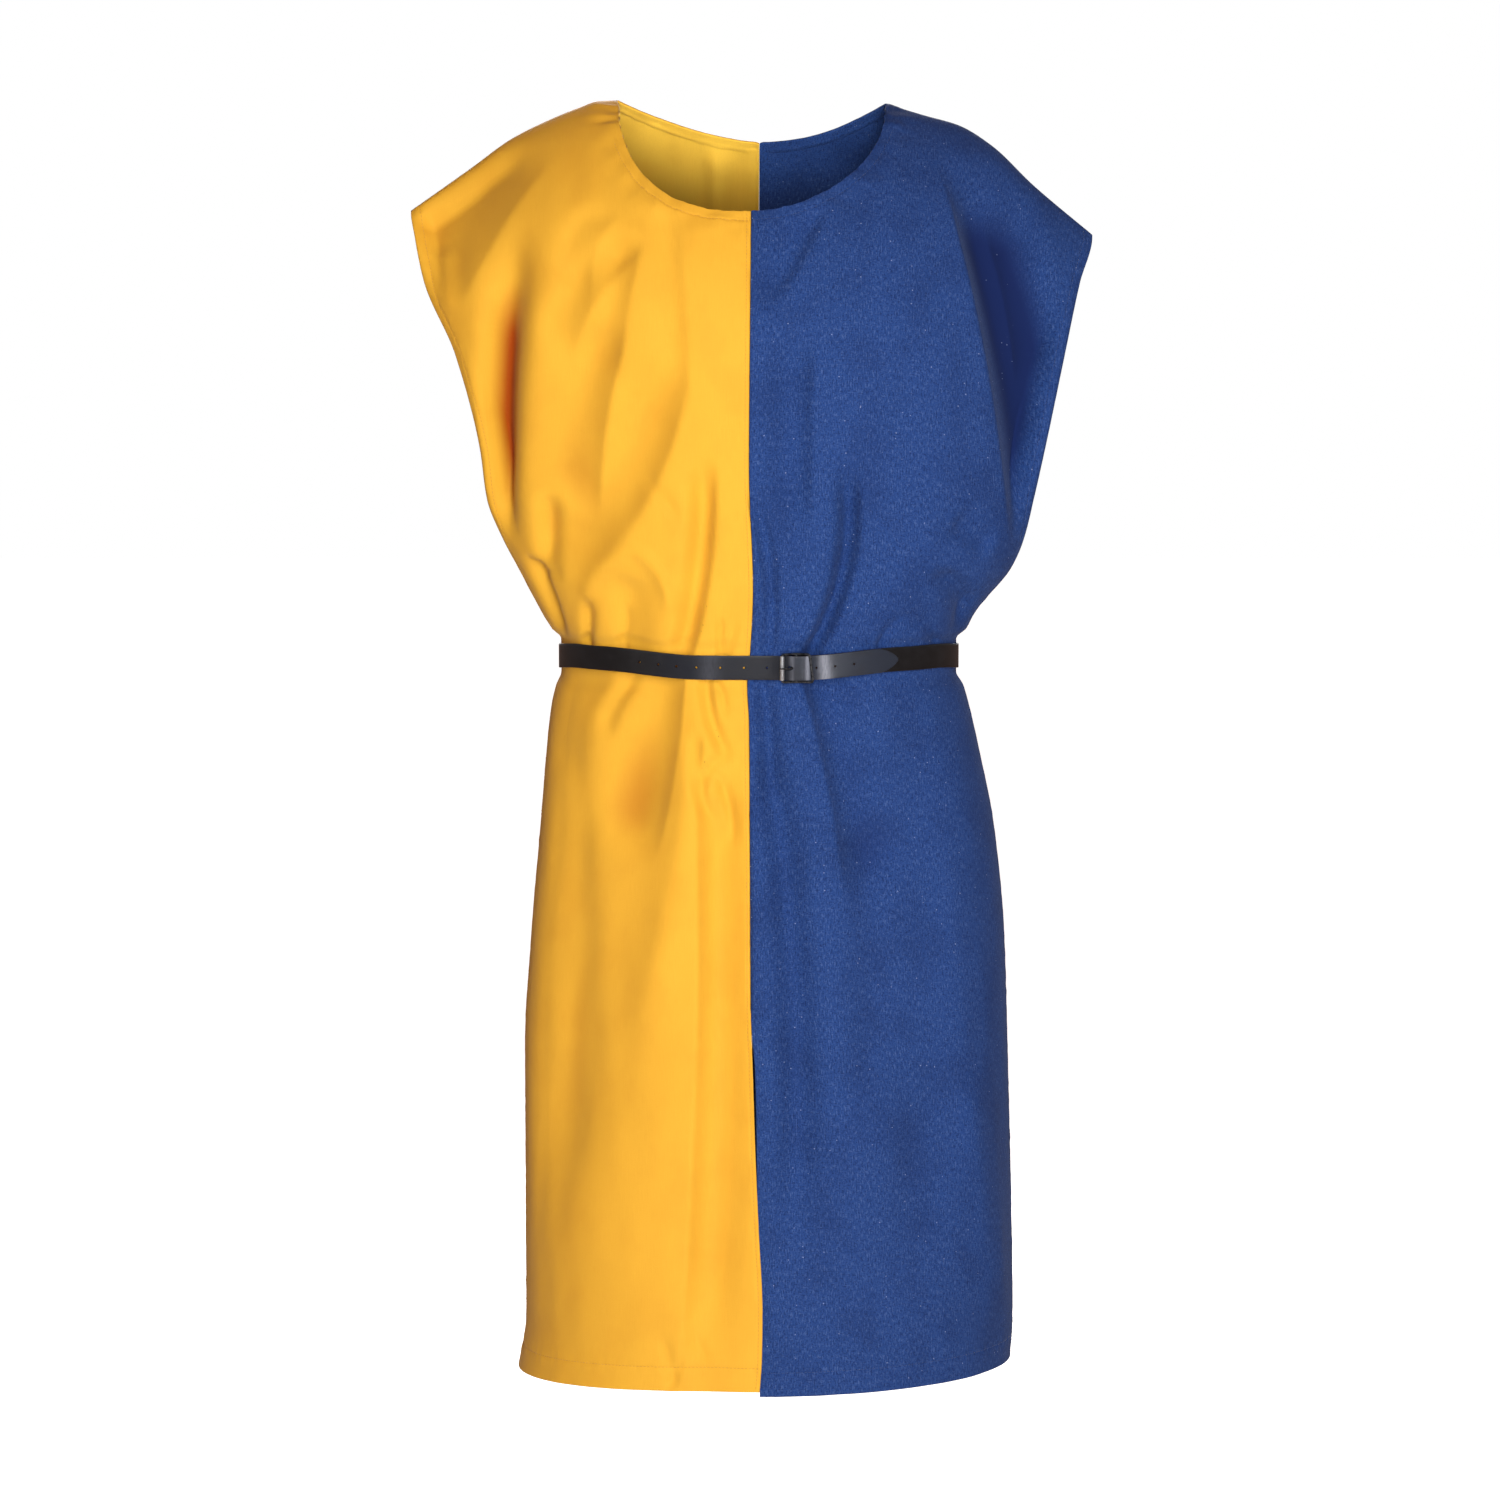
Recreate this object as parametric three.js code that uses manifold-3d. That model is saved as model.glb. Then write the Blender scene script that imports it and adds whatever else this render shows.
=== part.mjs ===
// A parti-coloured tabard with its leather belt, in the hollow shape it has when worn.
// Millimetres, +Z up, the front faces -Y, the wearer's right is at -X and is the yellow half.
// The origin is the middle of the shoulder line at the neck, where the wearer carries it.
import * as THREE from 'three';
import { mergeVertices } from 'three/addons/utils/BufferGeometryUtils.js';
import Module from 'manifold-3d';

const wasm = await Module();
wasm.setup();

// Cloth
const clothWall = 2;
const sewnGap = 0.3; // two sewn pieces stay this far apart
const neckHalfWidth = 112;
const frontNeckLevel = -90;
const backNeckLevel = -32;
const shoulderFall = 220; // below the shoulder line by this much, the section has its full depth
const shoulderRound = 0.65; // power of the round over the shoulder
const sectionPower = 2.3;
const yokeLevel = -150; // rows of points are level from here down
const yokeRows = 8;
const yokeSpread = 1.6; // packs the rows towards the shoulder
const bodyGridLevel = -260; // columns are spread evenly round the section from here down
const neckShare = 1 / 3; // share of a panel's columns that end at the neckline
const seamReach = 0.39; // share of a panel's width that moves with its centre seam
const foldFade = 25; // folds die away this far from the shoulder seam

// Belt
const leatherWall = 1.8;
const beltWidth = 20;
const beltLevel = -464.3;
const beltRise = 4.6; // how much higher it runs between the front centre and the sides
const beltGrip = 11; // cloth this near the belt's middle has no ridges
const waistPoints = 120;
const loopStations = 86;

// Buckle: "along" is measured round the belt from the centre bar, "rise" outwards from the cloth.
const buckleX = 36;
const barRadius = 1.1;
const rollerRadius = 1.9;
const frameHeight = 25;
const frameSide = 2.2;
const frameThickness = 2.4;
const centreBar = { along: 0, rise: 3.5 };
const rollerBar = { along: -12, rise: 6.9 };
const upperRightBar = { along: 10.8, rise: 8.2 };
const lowerRightBar = { along: 13.6, rise: 8 };
const foldEnd = 3; // the strap's skived end, over the centre bar
const foldRise = 5.8;
const strapRise = 1.2; // middle of the leather where it lies on the cloth
const prongRadius = 0.9;
const prongRing = { inner: 1.4, outer: 2.4, width: 3 };
const prongRoute = [
  { along: -1.2, rise: 5.2 },
  { along: -4.5, rise: 6.6 },
  { along: -8.5, rise: 8.8 },
  { along: -12.2, rise: 10.05 },
  { along: -14.6, rise: 9.6 },
];
const foldSlot = { from: -4.6, to: 3.4, low: -0.5, high: 6.85, width: 4 };
const strapSlot = { from: -8.2, to: -2.4, low: 4, high: 12, width: 3.4 };

// The strap's free end, through the buckle and on to its tip.
const freeEnd = [
  { along: -26, rise: 1.2, width: 1 },
  { along: -21, rise: 1.5, width: 1 },
  { along: -16, rise: 2.3, width: 1 },
  { along: -12, rise: 3.5, width: 1 },
  { along: -8, rise: 4.9, width: 1 },
  { along: -4, rise: 6.5, width: 1 },
  { along: 0, rise: 7.9, width: 1 },
  { along: 4, rise: 7.9, width: 1 },
  { along: 8, rise: 6.9, width: 1 },
  { along: 12, rise: 5.6, width: 1 },
  { along: 18, rise: 4.1, width: 1 },
  { along: 24, rise: 3.5, width: 1 },
  { along: 30, rise: 3.3, width: 1 },
  { along: 40, rise: 3.3, width: 1 },
  { along: 50, rise: 3.3, width: 1 },
  { along: 60, rise: 3.3, width: 1 },
  { along: 70, rise: 3.3, width: 1 },
  { along: 76, rise: 3.3, width: 0.86 },
  { along: 81, rise: 3.3, width: 0.63 },
  { along: 85, rise: 3.3, width: 0.36 },
  { along: 87.6, rise: 3.3, width: 0.12 },
];

// Half widths of each half, depths to the front and the back, half the gap between the open side
// edges, and the power that rounds the section: 0.5 wraps round the side, near 1 stays flatter.
const sections = [
  { z: 2, yellow: 286, blue: 285.5, front: 118, back: 116, gap: 38, round: 0.8 },
  { z: -90, yellow: 286, blue: 285.5, front: 126, back: 124, gap: 40, round: 0.8 },
  { z: -110, yellow: 282.5, blue: 285.5, front: 127, back: 126, gap: 41, round: 0.8 },
  { z: -150, yellow: 273.5, blue: 274, front: 128, back: 128, gap: 42, round: 0.8 },
  { z: -209, yellow: 247.5, blue: 261, front: 128, back: 129, gap: 43, round: 0.8 },
  { z: -287, yellow: 227.5, blue: 245, front: 126, back: 125, gap: 40, round: 0.76 },
  { z: -330, yellow: 222, blue: 236, front: 124, back: 120, gap: 35, round: 0.71 },
  { z: -363, yellow: 209.5, blue: 228.5, front: 122, back: 117, gap: 29, round: 0.66 },
  { z: -388, yellow: 197, blue: 218.5, front: 120, back: 114, gap: 22, round: 0.62 },
  { z: -426, yellow: 178, blue: 189, front: 117, back: 110, gap: 9, round: 0.54 },
  { z: -441, yellow: 169, blue: 181, front: 115, back: 107, gap: 4, round: 0.51 },
  { z: -449, yellow: 161.6, blue: 173, front: 112, back: 104, gap: 1.5, round: 0.5 },
  { z: -478, yellow: 161.6, blue: 173, front: 112, back: 104, gap: 1.5, round: 0.5 },
  { z: -489, yellow: 166, blue: 179, front: 114.5, back: 107, gap: 1.8, round: 0.5 },
  { z: -506, yellow: 170, blue: 184, front: 117, back: 110, gap: 2, round: 0.5 },
  { z: -540, yellow: 174, blue: 192, front: 119.5, back: 114, gap: 2.5, round: 0.5 },
  { z: -610, yellow: 180, blue: 206, front: 125, back: 123, gap: 3, round: 0.5 },
  { z: -700, yellow: 188, blue: 215, front: 130, back: 130, gap: 4, round: 0.5 },
  { z: -800, yellow: 194, blue: 218.5, front: 134, back: 134, gap: 5, round: 0.5 },
  { z: -940, yellow: 194, blue: 222.5, front: 138, back: 138, gap: 6.5, round: 0.5 },
  { z: -1030, yellow: 194, blue: 224, front: 141, back: 141, gap: 8, round: 0.5 },
  { z: -1082, yellow: 202, blue: 221, front: 143, back: 143, gap: 9, round: 0.5 },
];

// Height of the shoulder line outwards from the neck.
const shoulders = [
  { x: 0, yellow: 1, blue: 1 },
  { x: 112, yellow: 2, blue: -0.5 },
  { x: 128, yellow: 1.5, blue: -5.5 },
  { x: 145, yellow: -4, blue: -10.5 },
  { x: 173, yellow: -15.5, blue: -18.5 },
  { x: 201, yellow: -29.5, blue: -35.5 },
  { x: 236, yellow: -54.5, blue: -68.5 },
  { x: 286, yellow: -89.5, blue: -110 },
];

// Where the centre seams run. Below the slit's top the two front edges part, and the yellow edge
// then lies a little over the blue one.
const seams = [
  { z: 2, back: 6.5, frontYellow: -1, frontBlue: -1, lift: 0 },
  { z: -90, back: 6, frontYellow: -1, frontBlue: -1, lift: 0 },
  { z: -300, back: 3, frontYellow: -2.5, frontBlue: -2.5, lift: 0 },
  { z: -400, back: 1, frontYellow: 0.8, frontBlue: 0.8, lift: 0 },
  { z: -452, back: 0, frontYellow: -1.5, frontBlue: -1.5, lift: 0 },
  { z: -478, back: 0, frontYellow: -4, frontBlue: -4, lift: 0 },
  { z: -510, back: 0, frontYellow: -2.5, frontBlue: -2.5, lift: 0 },
  { z: -750, back: 0, frontYellow: -1, frontBlue: -1, lift: 0 },
  { z: -801, back: 0, frontYellow: 0.6, frontBlue: 2.6, lift: 0 },
  { z: -870, back: 0, frontYellow: 2.8, frontBlue: 4, lift: 0.8 },
  { z: -930, back: 0, frontYellow: 5.4, frontBlue: 4.4, lift: 3 },
  { z: -1001, back: 0, frontYellow: 8.6, frontBlue: 5.4, lift: 3.4 },
  { z: -1036, back: 0, frontYellow: 8.2, frontBlue: 6, lift: 3.2 },
  { z: -1082, back: 0, frontYellow: 5, frontBlue: 6.8, lift: 2 },
];
const liftReach = 45; // the lifted edge settles back over this width

// The largest folds, seen from the front or from the back. A positive depth is a trough.
// A positive bow bends the fold's middle towards +X.
const frontFolds = [
  { fromX: -212, fromZ: -75, toX: -241, toZ: -185, bow: -4, width: 17, depth: 7 },
  { fromX: -165, fromZ: -70, toX: -228, toZ: -215, bow: -10, width: 16, depth: -4 },
  { fromX: -180, fromZ: -110, toX: -212, toZ: -350, bow: -8, width: 9, depth: 8 },
  { fromX: -118, fromZ: -85, toX: -160, toZ: -185, bow: -4, width: 13, depth: 4 },
  { fromX: -100, fromZ: -115, toX: -148, toZ: -325, bow: -10, width: 14, depth: 6 },
  { fromX: -70, fromZ: -115, toX: -72, toZ: -260, bow: 2, width: 13, depth: 3 },
  { fromX: -64, fromZ: -245, toX: -141, toZ: -356, bow: 9, width: 16, depth: 5 },
  { fromX: -172, fromZ: -395, toX: -160, toZ: -440, bow: 0, width: 8, depth: 5 },
  { fromX: -136, fromZ: -400, toX: -136, toZ: -462, bow: 0, width: 8, depth: 5 },
  { fromX: -36, fromZ: -325, toX: -55, toZ: -458, bow: 3, width: 10, depth: 5 },
  { fromX: -64, fromZ: -478, toX: -139, toZ: -716, bow: -12, width: 20, depth: 7 },
  { fromX: -50, fromZ: -496, toX: -96, toZ: -735, bow: -6, width: 17, depth: -4 },
  { fromX: -34, fromZ: -560, toX: -42, toZ: -1030, bow: 5, width: 14, depth: 7 },
  { fromX: -34, fromZ: -480, toX: -38, toZ: -550, bow: 5, width: 9, depth: 4 },
  { fromX: -150, fromZ: -520, toX: -160, toZ: -900, bow: 6, width: 16, depth: 4 },
  { fromX: 172, fromZ: -95, toX: 222, toZ: -335, bow: -9, width: 11, depth: 8 },
  { fromX: 214, fromZ: -98, toX: 246, toZ: -160, bow: 4, width: 14, depth: 4 },
  { fromX: 52, fromZ: -95, toX: 32, toZ: -140, bow: 0, width: 14, depth: 3 },
  { fromX: 34, fromZ: -262, toX: 36, toZ: -340, bow: 0, width: 12, depth: 4 },
  { fromX: 80, fromZ: -318, toX: 50, toZ: -450, bow: 9, width: 10, depth: 6 },
  { fromX: 12, fromZ: -375, toX: 10, toZ: -448, bow: 7, width: 8, depth: 4 },
  { fromX: 112, fromZ: -412, toX: 104, toZ: -448, bow: 0, width: 9, depth: 4 },
  { fromX: 158, fromZ: -388, toX: 182, toZ: -412, bow: 0, width: 13, depth: 6 },
  { fromX: 44, fromZ: -478, toX: 88, toZ: -620, bow: 4, width: 14, depth: 6 },
  { fromX: 20, fromZ: -570, toX: 36, toZ: -915, bow: 2, width: 14, depth: 6 },
  { fromX: 120, fromZ: -500, toX: 128, toZ: -960, bow: 8, width: 24, depth: 4 },
  { fromX: 176, fromZ: -835, toX: 196, toZ: -1000, bow: 0, width: 16, depth: -3 },
];
const backFolds = [
  { fromX: -196, fromZ: -80, toX: -222, toZ: -260, bow: -6, width: 16, depth: 7 },
  { fromX: -120, fromZ: -70, toX: -150, toZ: -300, bow: -8, width: 16, depth: 6 },
  { fromX: -31, fromZ: -20, toX: -34, toZ: -220, bow: 2, width: 12, depth: 5 },
  { fromX: -84, fromZ: -250, toX: -60, toZ: -455, bow: -6, width: 14, depth: 6 },
  { fromX: -140, fromZ: -380, toX: -128, toZ: -460, bow: 0, width: 10, depth: 5 },
  { fromX: 70, fromZ: -60, toX: 92, toZ: -250, bow: 5, width: 15, depth: 5 },
  { fromX: 178, fromZ: -100, toX: 214, toZ: -320, bow: -7, width: 13, depth: 8 },
  { fromX: 44, fromZ: -290, toX: 34, toZ: -455, bow: 5, width: 12, depth: 6 },
  { fromX: 122, fromZ: -340, toX: 96, toZ: -458, bow: 6, width: 12, depth: 6 },
  { fromX: -52, fromZ: -475, toX: -104, toZ: -800, bow: -10, width: 20, depth: 7 },
  { fromX: -120, fromZ: -478, toX: -150, toZ: -700, bow: -6, width: 13, depth: 5 },
  { fromX: -26, fromZ: -520, toX: -34, toZ: -1040, bow: 4, width: 15, depth: 6 },
  { fromX: 38, fromZ: -476, toX: 66, toZ: -760, bow: 6, width: 16, depth: 6 },
  { fromX: 104, fromZ: -480, toX: 142, toZ: -980, bow: 10, width: 20, depth: 7 },
  { fromX: 20, fromZ: -700, toX: 34, toZ: -1050, bow: -3, width: 15, depth: 5 },
];

// Hem heights: at the centre, and how far the hem dips towards the side.
const hems = {
  yellow: { centre: -1067, dip: 8.5, power: 2.2 },
  blue: { centre: -1071.5, dip: -4.5, power: 1.5 },
};
const necklinePowers = {
  yellow: { front: 2.7, back: 1.6 },
  blue: { front: 1.8, back: 2.1 },
};

// Levels of the rows below the yoke: so many rows down to each level.
const rowBands = [
  { to: -438, rows: 9 },
  { to: -449, rows: 1 },
  { to: -478, rows: 2 },
  { to: -490, rows: 1 },
  { to: -560, rows: 3 },
  { to: -1040, rows: 12 },
];

// Each half's finish.
const finishes = {
  yellow: { color: 0xf0b93a, roughness: 0.8, metalness: 0 },
  blue: { color: 0x2d4c8f, roughness: 0.88, metalness: 0 },
  leather: { color: 0x221f20, roughness: 0.45, metalness: 0 },
  gunmetal: { color: 0x3a3b3e, roughness: 0.38, metalness: 0.9 },
  steel: { color: 0xb9bcc0, roughness: 0.3, metalness: 0.95 },
};

const tabard = new THREE.Group();

function addPart(name, geometry, finish, parent = tabard) {
  const mesh = new THREE.Mesh(geometry, new THREE.MeshStandardMaterial(finishes[finish]));
  mesh.name = name;
  parent.add(mesh);
  return mesh;
}

function smoothStep(value) {
  const t = Math.min(1, Math.max(0, value));
  return t * t * (3 - 2 * t);
}

// Reads a table's column at a place, on a smooth curve that never overshoots its rows.
function readTable(table, key, at, column) {
  const sign = Math.sign(table[table.length - 1][key] - table[0][key]);
  let row = 0;
  while (row < table.length - 2 && (at - table[row + 1][key]) * sign > 0) row += 1;
  const slope = (index) => {
    const [here, next] = [table[index], table[index + 1]];
    return (next[column] - here[column]) / (next[key] - here[key]);
  };
  const tangent = (index) => {
    if (index === 0) return slope(0);
    if (index === table.length - 1) return slope(index - 1);
    const [before, after] = [slope(index - 1), slope(index)];
    return before * after <= 0 ? 0 : (2 * before * after) / (before + after);
  };
  const span = table[row + 1][key] - table[row][key];
  const t = Math.min(1, Math.max(0, (at - table[row][key]) / span));
  const [start, end] = [table[row][column], table[row + 1][column]];
  const [leave, arrive] = [tangent(row) * span, tangent(row + 1) * span];
  return (
    start * (1 + 2 * t) * (1 - t) ** 2 +
    leave * t * (1 - t) ** 2 +
    end * t * t * (3 - 2 * t) +
    arrive * t * t * (t - 1)
  );
}

function foldDepth(folds, x, z) {
  let depth = 0;
  for (const fold of folds) {
    const runX = fold.toX - fold.fromX;
    const runZ = fold.toZ - fold.fromZ;
    const run = Math.hypot(runX, runZ);
    const along = ((x - fold.fromX) * runX + (z - fold.fromZ) * runZ) / (run * run);
    const across = ((z - fold.fromZ) * runX - (x - fold.fromX) * runZ) / run;
    const aside = across - fold.bow * 4 * along * (1 - along);
    const ends = smoothStep((along + 0.12) / 0.3) * smoothStep((1.12 - along) / 0.3);
    const free = fold.depth > 0 ? 1 : smoothStep((Math.abs(z - beltLevel) - beltGrip) / foldFade);
    depth += fold.depth * free * ends * Math.exp(-((aside / fold.width) ** 2));
  }
  return depth;
}

// Height of a panel's upper edge: the neckline, then the shoulder line.
function topLevel(half, face, x) {
  const reach = Math.abs(x);
  if (reach >= neckHalfWidth) return readTable(shoulders, 'x', reach, half);
  const neckPoint = readTable(shoulders, 'x', neckHalfWidth, half);
  if (face === 'front') {
    const share = Math.sqrt(1 - (reach / neckHalfWidth) ** necklinePowers[half].front);
    return neckPoint + (frontNeckLevel - neckPoint) * share;
  }
  const share = 1 - (reach / neckHalfWidth) ** necklinePowers[half].back;
  return neckPoint + (backNeckLevel - neckPoint) * share;
}

// Share of the half width that a column has along the top edge, and lower down.
function columnShares(column, columns, tip) {
  const neckColumns = Math.round(columns * neckShare);
  const neck = neckHalfWidth / tip;
  const body = Math.sin((column / columns) * (Math.PI / 2));
  const top =
    column <= neckColumns
      ? neck * Math.sin((column / neckColumns) * (Math.PI / 2))
      : neck + ((1 - neck) * (column - neckColumns)) / (columns - neckColumns);
  return { top, body };
}

// One point of the garment's smooth surface, before the folds.
function surfacePoint(half, face, share, level) {
  const outward = half === 'yellow' ? -1 : 1;
  const forward = face === 'front' ? -1 : 1;
  const width = readTable(sections, 'z', level, half);
  const seamColumn = face === 'back' ? 'back' : half === 'yellow' ? 'frontYellow' : 'frontBlue';
  const seamX = readTable(seams, 'z', level, seamColumn) + outward * (sewnGap / 2);
  const x = outward * width * share + seamX * smoothStep(1 - share / seamReach);
  const below = Math.max(0, readTable(shoulders, 'x', Math.abs(x), half) - level);
  const fall = (1 - Math.max(0, 1 - below / shoulderFall) ** 2) ** shoulderRound;
  const gap = readTable(sections, 'z', level, 'gap');
  const depth = readTable(sections, 'z', level, face);
  const round = readTable(sections, 'z', level, 'round');
  const section = gap + (depth - gap) * (1 - share ** sectionPower) ** round;
  const lift =
    face === 'front' && half === 'yellow'
      ? readTable(seams, 'z', level, 'lift') * (1 - smoothStep(Math.abs(x - seamX) / liftReach))
      : 0;
  return new THREE.Vector3(x, forward * (sewnGap / 2 + fall * section + lift), level);
}

// Unit normals of a grid of points, pointing away from the wearer.
function gridNormals(grid, face, sign) {
  return grid.map((line, row) =>
    line.map((point, column) => {
      const above = grid[Math.max(0, row - 1)][column];
      const under = grid[Math.min(grid.length - 1, row + 1)][column];
      const before = line[Math.max(0, column - 1)];
      const after = line[Math.min(line.length - 1, column + 1)];
      const down = under.clone().sub(above);
      const normal = after.clone().sub(before).cross(down).multiplyScalar(sign);
      if (column === 0) normal.x = 0;
      const onShoulder = row === 0 && Math.abs(point.y) < sewnGap;
      if (onShoulder) normal.set(0, 0, 1);
      return normal.normalize();
    }),
  );
}

// A closed wall between a grid of outer points and the inner points behind them.
function wallGeometry(outer, inner) {
  const rows = outer.length;
  const columns = outer[0].length;
  const positions = [];
  for (const grid of [outer, inner]) {
    for (const line of grid) for (const point of line) positions.push(point.x, point.y, point.z);
  }
  const at = (layer, row, column) => layer * rows * columns + row * columns + column;
  const faces = [];
  const quad = (a, b, c, d) => faces.push(a, b, c, a, c, d);
  for (let row = 0; row < rows - 1; row += 1) {
    for (let column = 0; column < columns - 1; column += 1) {
      for (const layer of [0, 1]) {
        const corners = [at(layer, row, column), at(layer, row + 1, column)];
        corners.push(at(layer, row + 1, column + 1), at(layer, row, column + 1));
        quad(...(layer === 0 ? corners : corners.reverse()));
      }
    }
    const last = columns - 1;
    quad(at(0, row, 0), at(1, row, 0), at(1, row + 1, 0), at(0, row + 1, 0));
    quad(at(0, row + 1, last), at(1, row + 1, last), at(1, row, last), at(0, row, last));
  }
  for (let column = 0; column < columns - 1; column += 1) {
    const last = rows - 1;
    quad(at(0, 0, column + 1), at(1, 0, column + 1), at(1, 0, column), at(0, 0, column));
    quad(at(0, last, column), at(1, last, column), at(1, last, column + 1), at(0, last, column + 1));
  }
  return facingOut(positions, faces);
}

// Turns the faces round where the solid would be inside out.
function facingOut(positions, faces) {
  const corner = (index) => new THREE.Vector3().fromArray(positions, index * 3);
  let volume = 0;
  for (let i = 0; i < faces.length; i += 3) {
    volume += corner(faces[i]).dot(corner(faces[i + 1]).cross(corner(faces[i + 2])));
  }
  if (volume < 0) faces.reverse();
  const geometry = new THREE.BufferGeometry();
  geometry.setAttribute('position', new THREE.Float32BufferAttribute(positions, 3));
  geometry.setIndex(faces);
  return geometry;
}

function panelLevels(half, face, x, share) {
  const top = topLevel(half, face, x);
  const levels = [];
  for (let row = 0; row < yokeRows; row += 1) {
    levels.push(top + (yokeLevel - top) * (row / yokeRows) ** yokeSpread);
  }
  let level = yokeLevel;
  levels.push(level);
  for (const band of rowBands) {
    const step = (band.to - level) / band.rows;
    for (let row = 1; row <= band.rows; row += 1) levels.push(level + step * row);
    level = band.to;
  }
  const hem = hems[half];
  levels.push(hem.centre - hem.dip * share ** hem.power);
  return levels;
}

function clothPanel(half, face, columns) {
  const tip = readTable(sections, 'z', 0, half);
  const folds = face === 'front' ? frontFolds : backFolds;
  const grid = [];
  for (let column = 0; column <= columns; column += 1) {
    const { top, body } = columnShares(column, columns, tip);
    panelLevels(half, face, top * tip, body).forEach((level, row) => {
      const settled = smoothStep((topLevel(half, face, top * tip) - level) / -bodyGridLevel);
      grid[row] ??= [];
      grid[row].push(surfacePoint(half, face, top + (body - top) * settled, level));
    });
  }
  const sign = (half === 'yellow') === (face === 'front') ? 1 : -1;
  const smooth = gridNormals(grid, face, sign);
  const outer = grid.map((line, row) =>
    line.map((point, column) => {
      const fromShoulder = readTable(shoulders, 'x', Math.abs(point.x), half) - point.z;
      const fade = smoothStep(fromShoulder / foldFade);
      const depth = foldDepth(folds, point.x, point.z) * fade;
      return point.clone().addScaledVector(smooth[row][column], -depth);
    }),
  );
  const normals = gridNormals(outer, face, sign);
  const inner = outer.map((line, row) =>
    line.map((point, column) => point.clone().addScaledVector(normals[row][column], -clothWall)),
  );
  return wallGeometry(outer, inner);
}

// A point on the outside of the cloth under the belt, a share of a turn from the front centre.
function waistPoint(turn) {
  const right = Math.sin(turn * 2 * Math.PI);
  const ahead = Math.cos(turn * 2 * Math.PI);
  const half = right < 0 ? 'yellow' : 'blue';
  const face = ahead > 0 ? 'front' : 'back';
  const point = surfacePoint(half, face, Math.abs(right), beltLevel);
  point.x = right * readTable(sections, 'z', beltLevel, half);
  return point.setZ(0);
}

const buckleTurn = Math.asin(buckleX / readTable(sections, 'z', beltLevel, 'blue')) / (2 * Math.PI);
const waist = new THREE.CatmullRomCurve3(
  Array.from({ length: waistPoints }, (_, index) => waistPoint(buckleTurn + index / waistPoints)),
  true,
);
waist.arcLengthDivisions = 1200;
const waistLength = waist.getLength();

// Place and outward direction on the belt's line, a distance along it from the centre bar.
function beltPoint(along, rise) {
  const share = (((along / waistLength) % 1) + 1) % 1;
  const tangent = waist.getTangentAt(share);
  const outward = new THREE.Vector3(tangent.y, -tangent.x, 0);
  return waist.getPointAt(share).addScaledVector(outward, rise);
}

// The height of the belt's middle at a place round the waist.
function beltHeight(place) {
  const hump = smoothStep((Math.abs(place.x) - 45) / 75) * smoothStep(-place.y / 60);
  return beltLevel + beltRise * hump;
}

function strapStations() {
  const wrap = leatherWall / 2 + sewnGap + barRadius;
  const stations = [{ along: foldEnd, rise: foldRise, width: 1 }];
  for (let step = 0; step <= 6; step += 1) {
    const angle = (step / 6) * Math.PI;
    const along = centreBar.along - wrap * Math.sin(angle);
    stations.push({ along, rise: centreBar.rise + wrap * Math.cos(angle), width: 1 });
  }
  const [start, end] = [8, waistLength + freeEnd[0].along];
  for (let step = 0; step < loopStations; step += 1) {
    const along = start + ((end - start) * step) / loopStations;
    stations.push({ along, rise: strapRise, width: 1 });
  }
  return [...stations, ...freeEnd.map((row) => ({ ...row, along: row.along + waistLength }))];
}

// A flat strap along its stations, leatherWall thick.
function strapGeometry() {
  const stations = strapStations();
  const middles = stations.map((station) => beltPoint(station.along, station.rise));
  const positions = [];
  stations.forEach((station, index) => {
    const middle = middles[index];
    const before = middles[Math.max(0, index - 1)];
    const after = middles[Math.min(middles.length - 1, index + 1)];
    const along = after.clone().sub(before).normalize();
    const across = new THREE.Vector3(along.y, -along.x, 0).multiplyScalar(leatherWall / 2);
    const half = (beltWidth / 2) * station.width;
    const height = beltHeight(middle);
    for (const [side, level] of [[1, 1], [1, -1], [-1, -1], [-1, 1]]) {
      const corner = middle.clone().addScaledVector(across, side);
      positions.push(corner.x, corner.y, height + half * level);
    }
  });
  const faces = [];
  for (let index = 0; index < stations.length - 1; index += 1) {
    for (let side = 0; side < 4; side += 1) {
      const [here, next] = [index * 4 + side, index * 4 + ((side + 1) % 4)];
      faces.push(here, here + 4, next + 4, here, next + 4, next);
    }
  }
  const last = (stations.length - 1) * 4;
  faces.push(0, 1, 2, 0, 2, 3, last, last + 2, last + 1, last, last + 3, last + 2);
  return facingOut(positions, faces);
}

function toSolid(geometry) {
  const bare = geometry.clone();
  for (const name of Object.keys(bare.attributes)) {
    if (name !== 'position') bare.deleteAttribute(name);
  }
  const merged = mergeVertices(bare, 1e-4);
  const vertProperties = new Float32Array(merged.attributes.position.array);
  const triVerts = new Uint32Array(merged.index.array);
  return new wasm.Manifold(new wasm.Mesh({ numProp: 3, vertProperties, triVerts }));
}

function fromSolid(solid) {
  const { vertProperties, triVerts } = solid.getMesh();
  const geometry = new THREE.BufferGeometry();
  geometry.setAttribute('position', new THREE.BufferAttribute(vertProperties, 3));
  geometry.setIndex(new THREE.BufferAttribute(triVerts, 1));
  return geometry;
}

// The buckle's own frame: x along the belt, y outwards, z down.
const buckleTangent = waist.getTangentAt(0);
const buckleOutward = new THREE.Vector3(buckleTangent.y, -buckleTangent.x, 0);
const buckleFrame = new THREE.Matrix4()
  .makeBasis(buckleTangent, buckleOutward, new THREE.Vector3(0, 0, -1))
  .setPosition(beltPoint(0, 0).setZ(beltLevel));

function slotSolid(slot) {
  const box = new THREE.BoxGeometry(slot.to - slot.from, slot.high - slot.low, slot.width);
  box.translate((slot.from + slot.to) / 2, (slot.low + slot.high) / 2, 0);
  return toSolid(box.applyMatrix4(buckleFrame));
}

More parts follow.
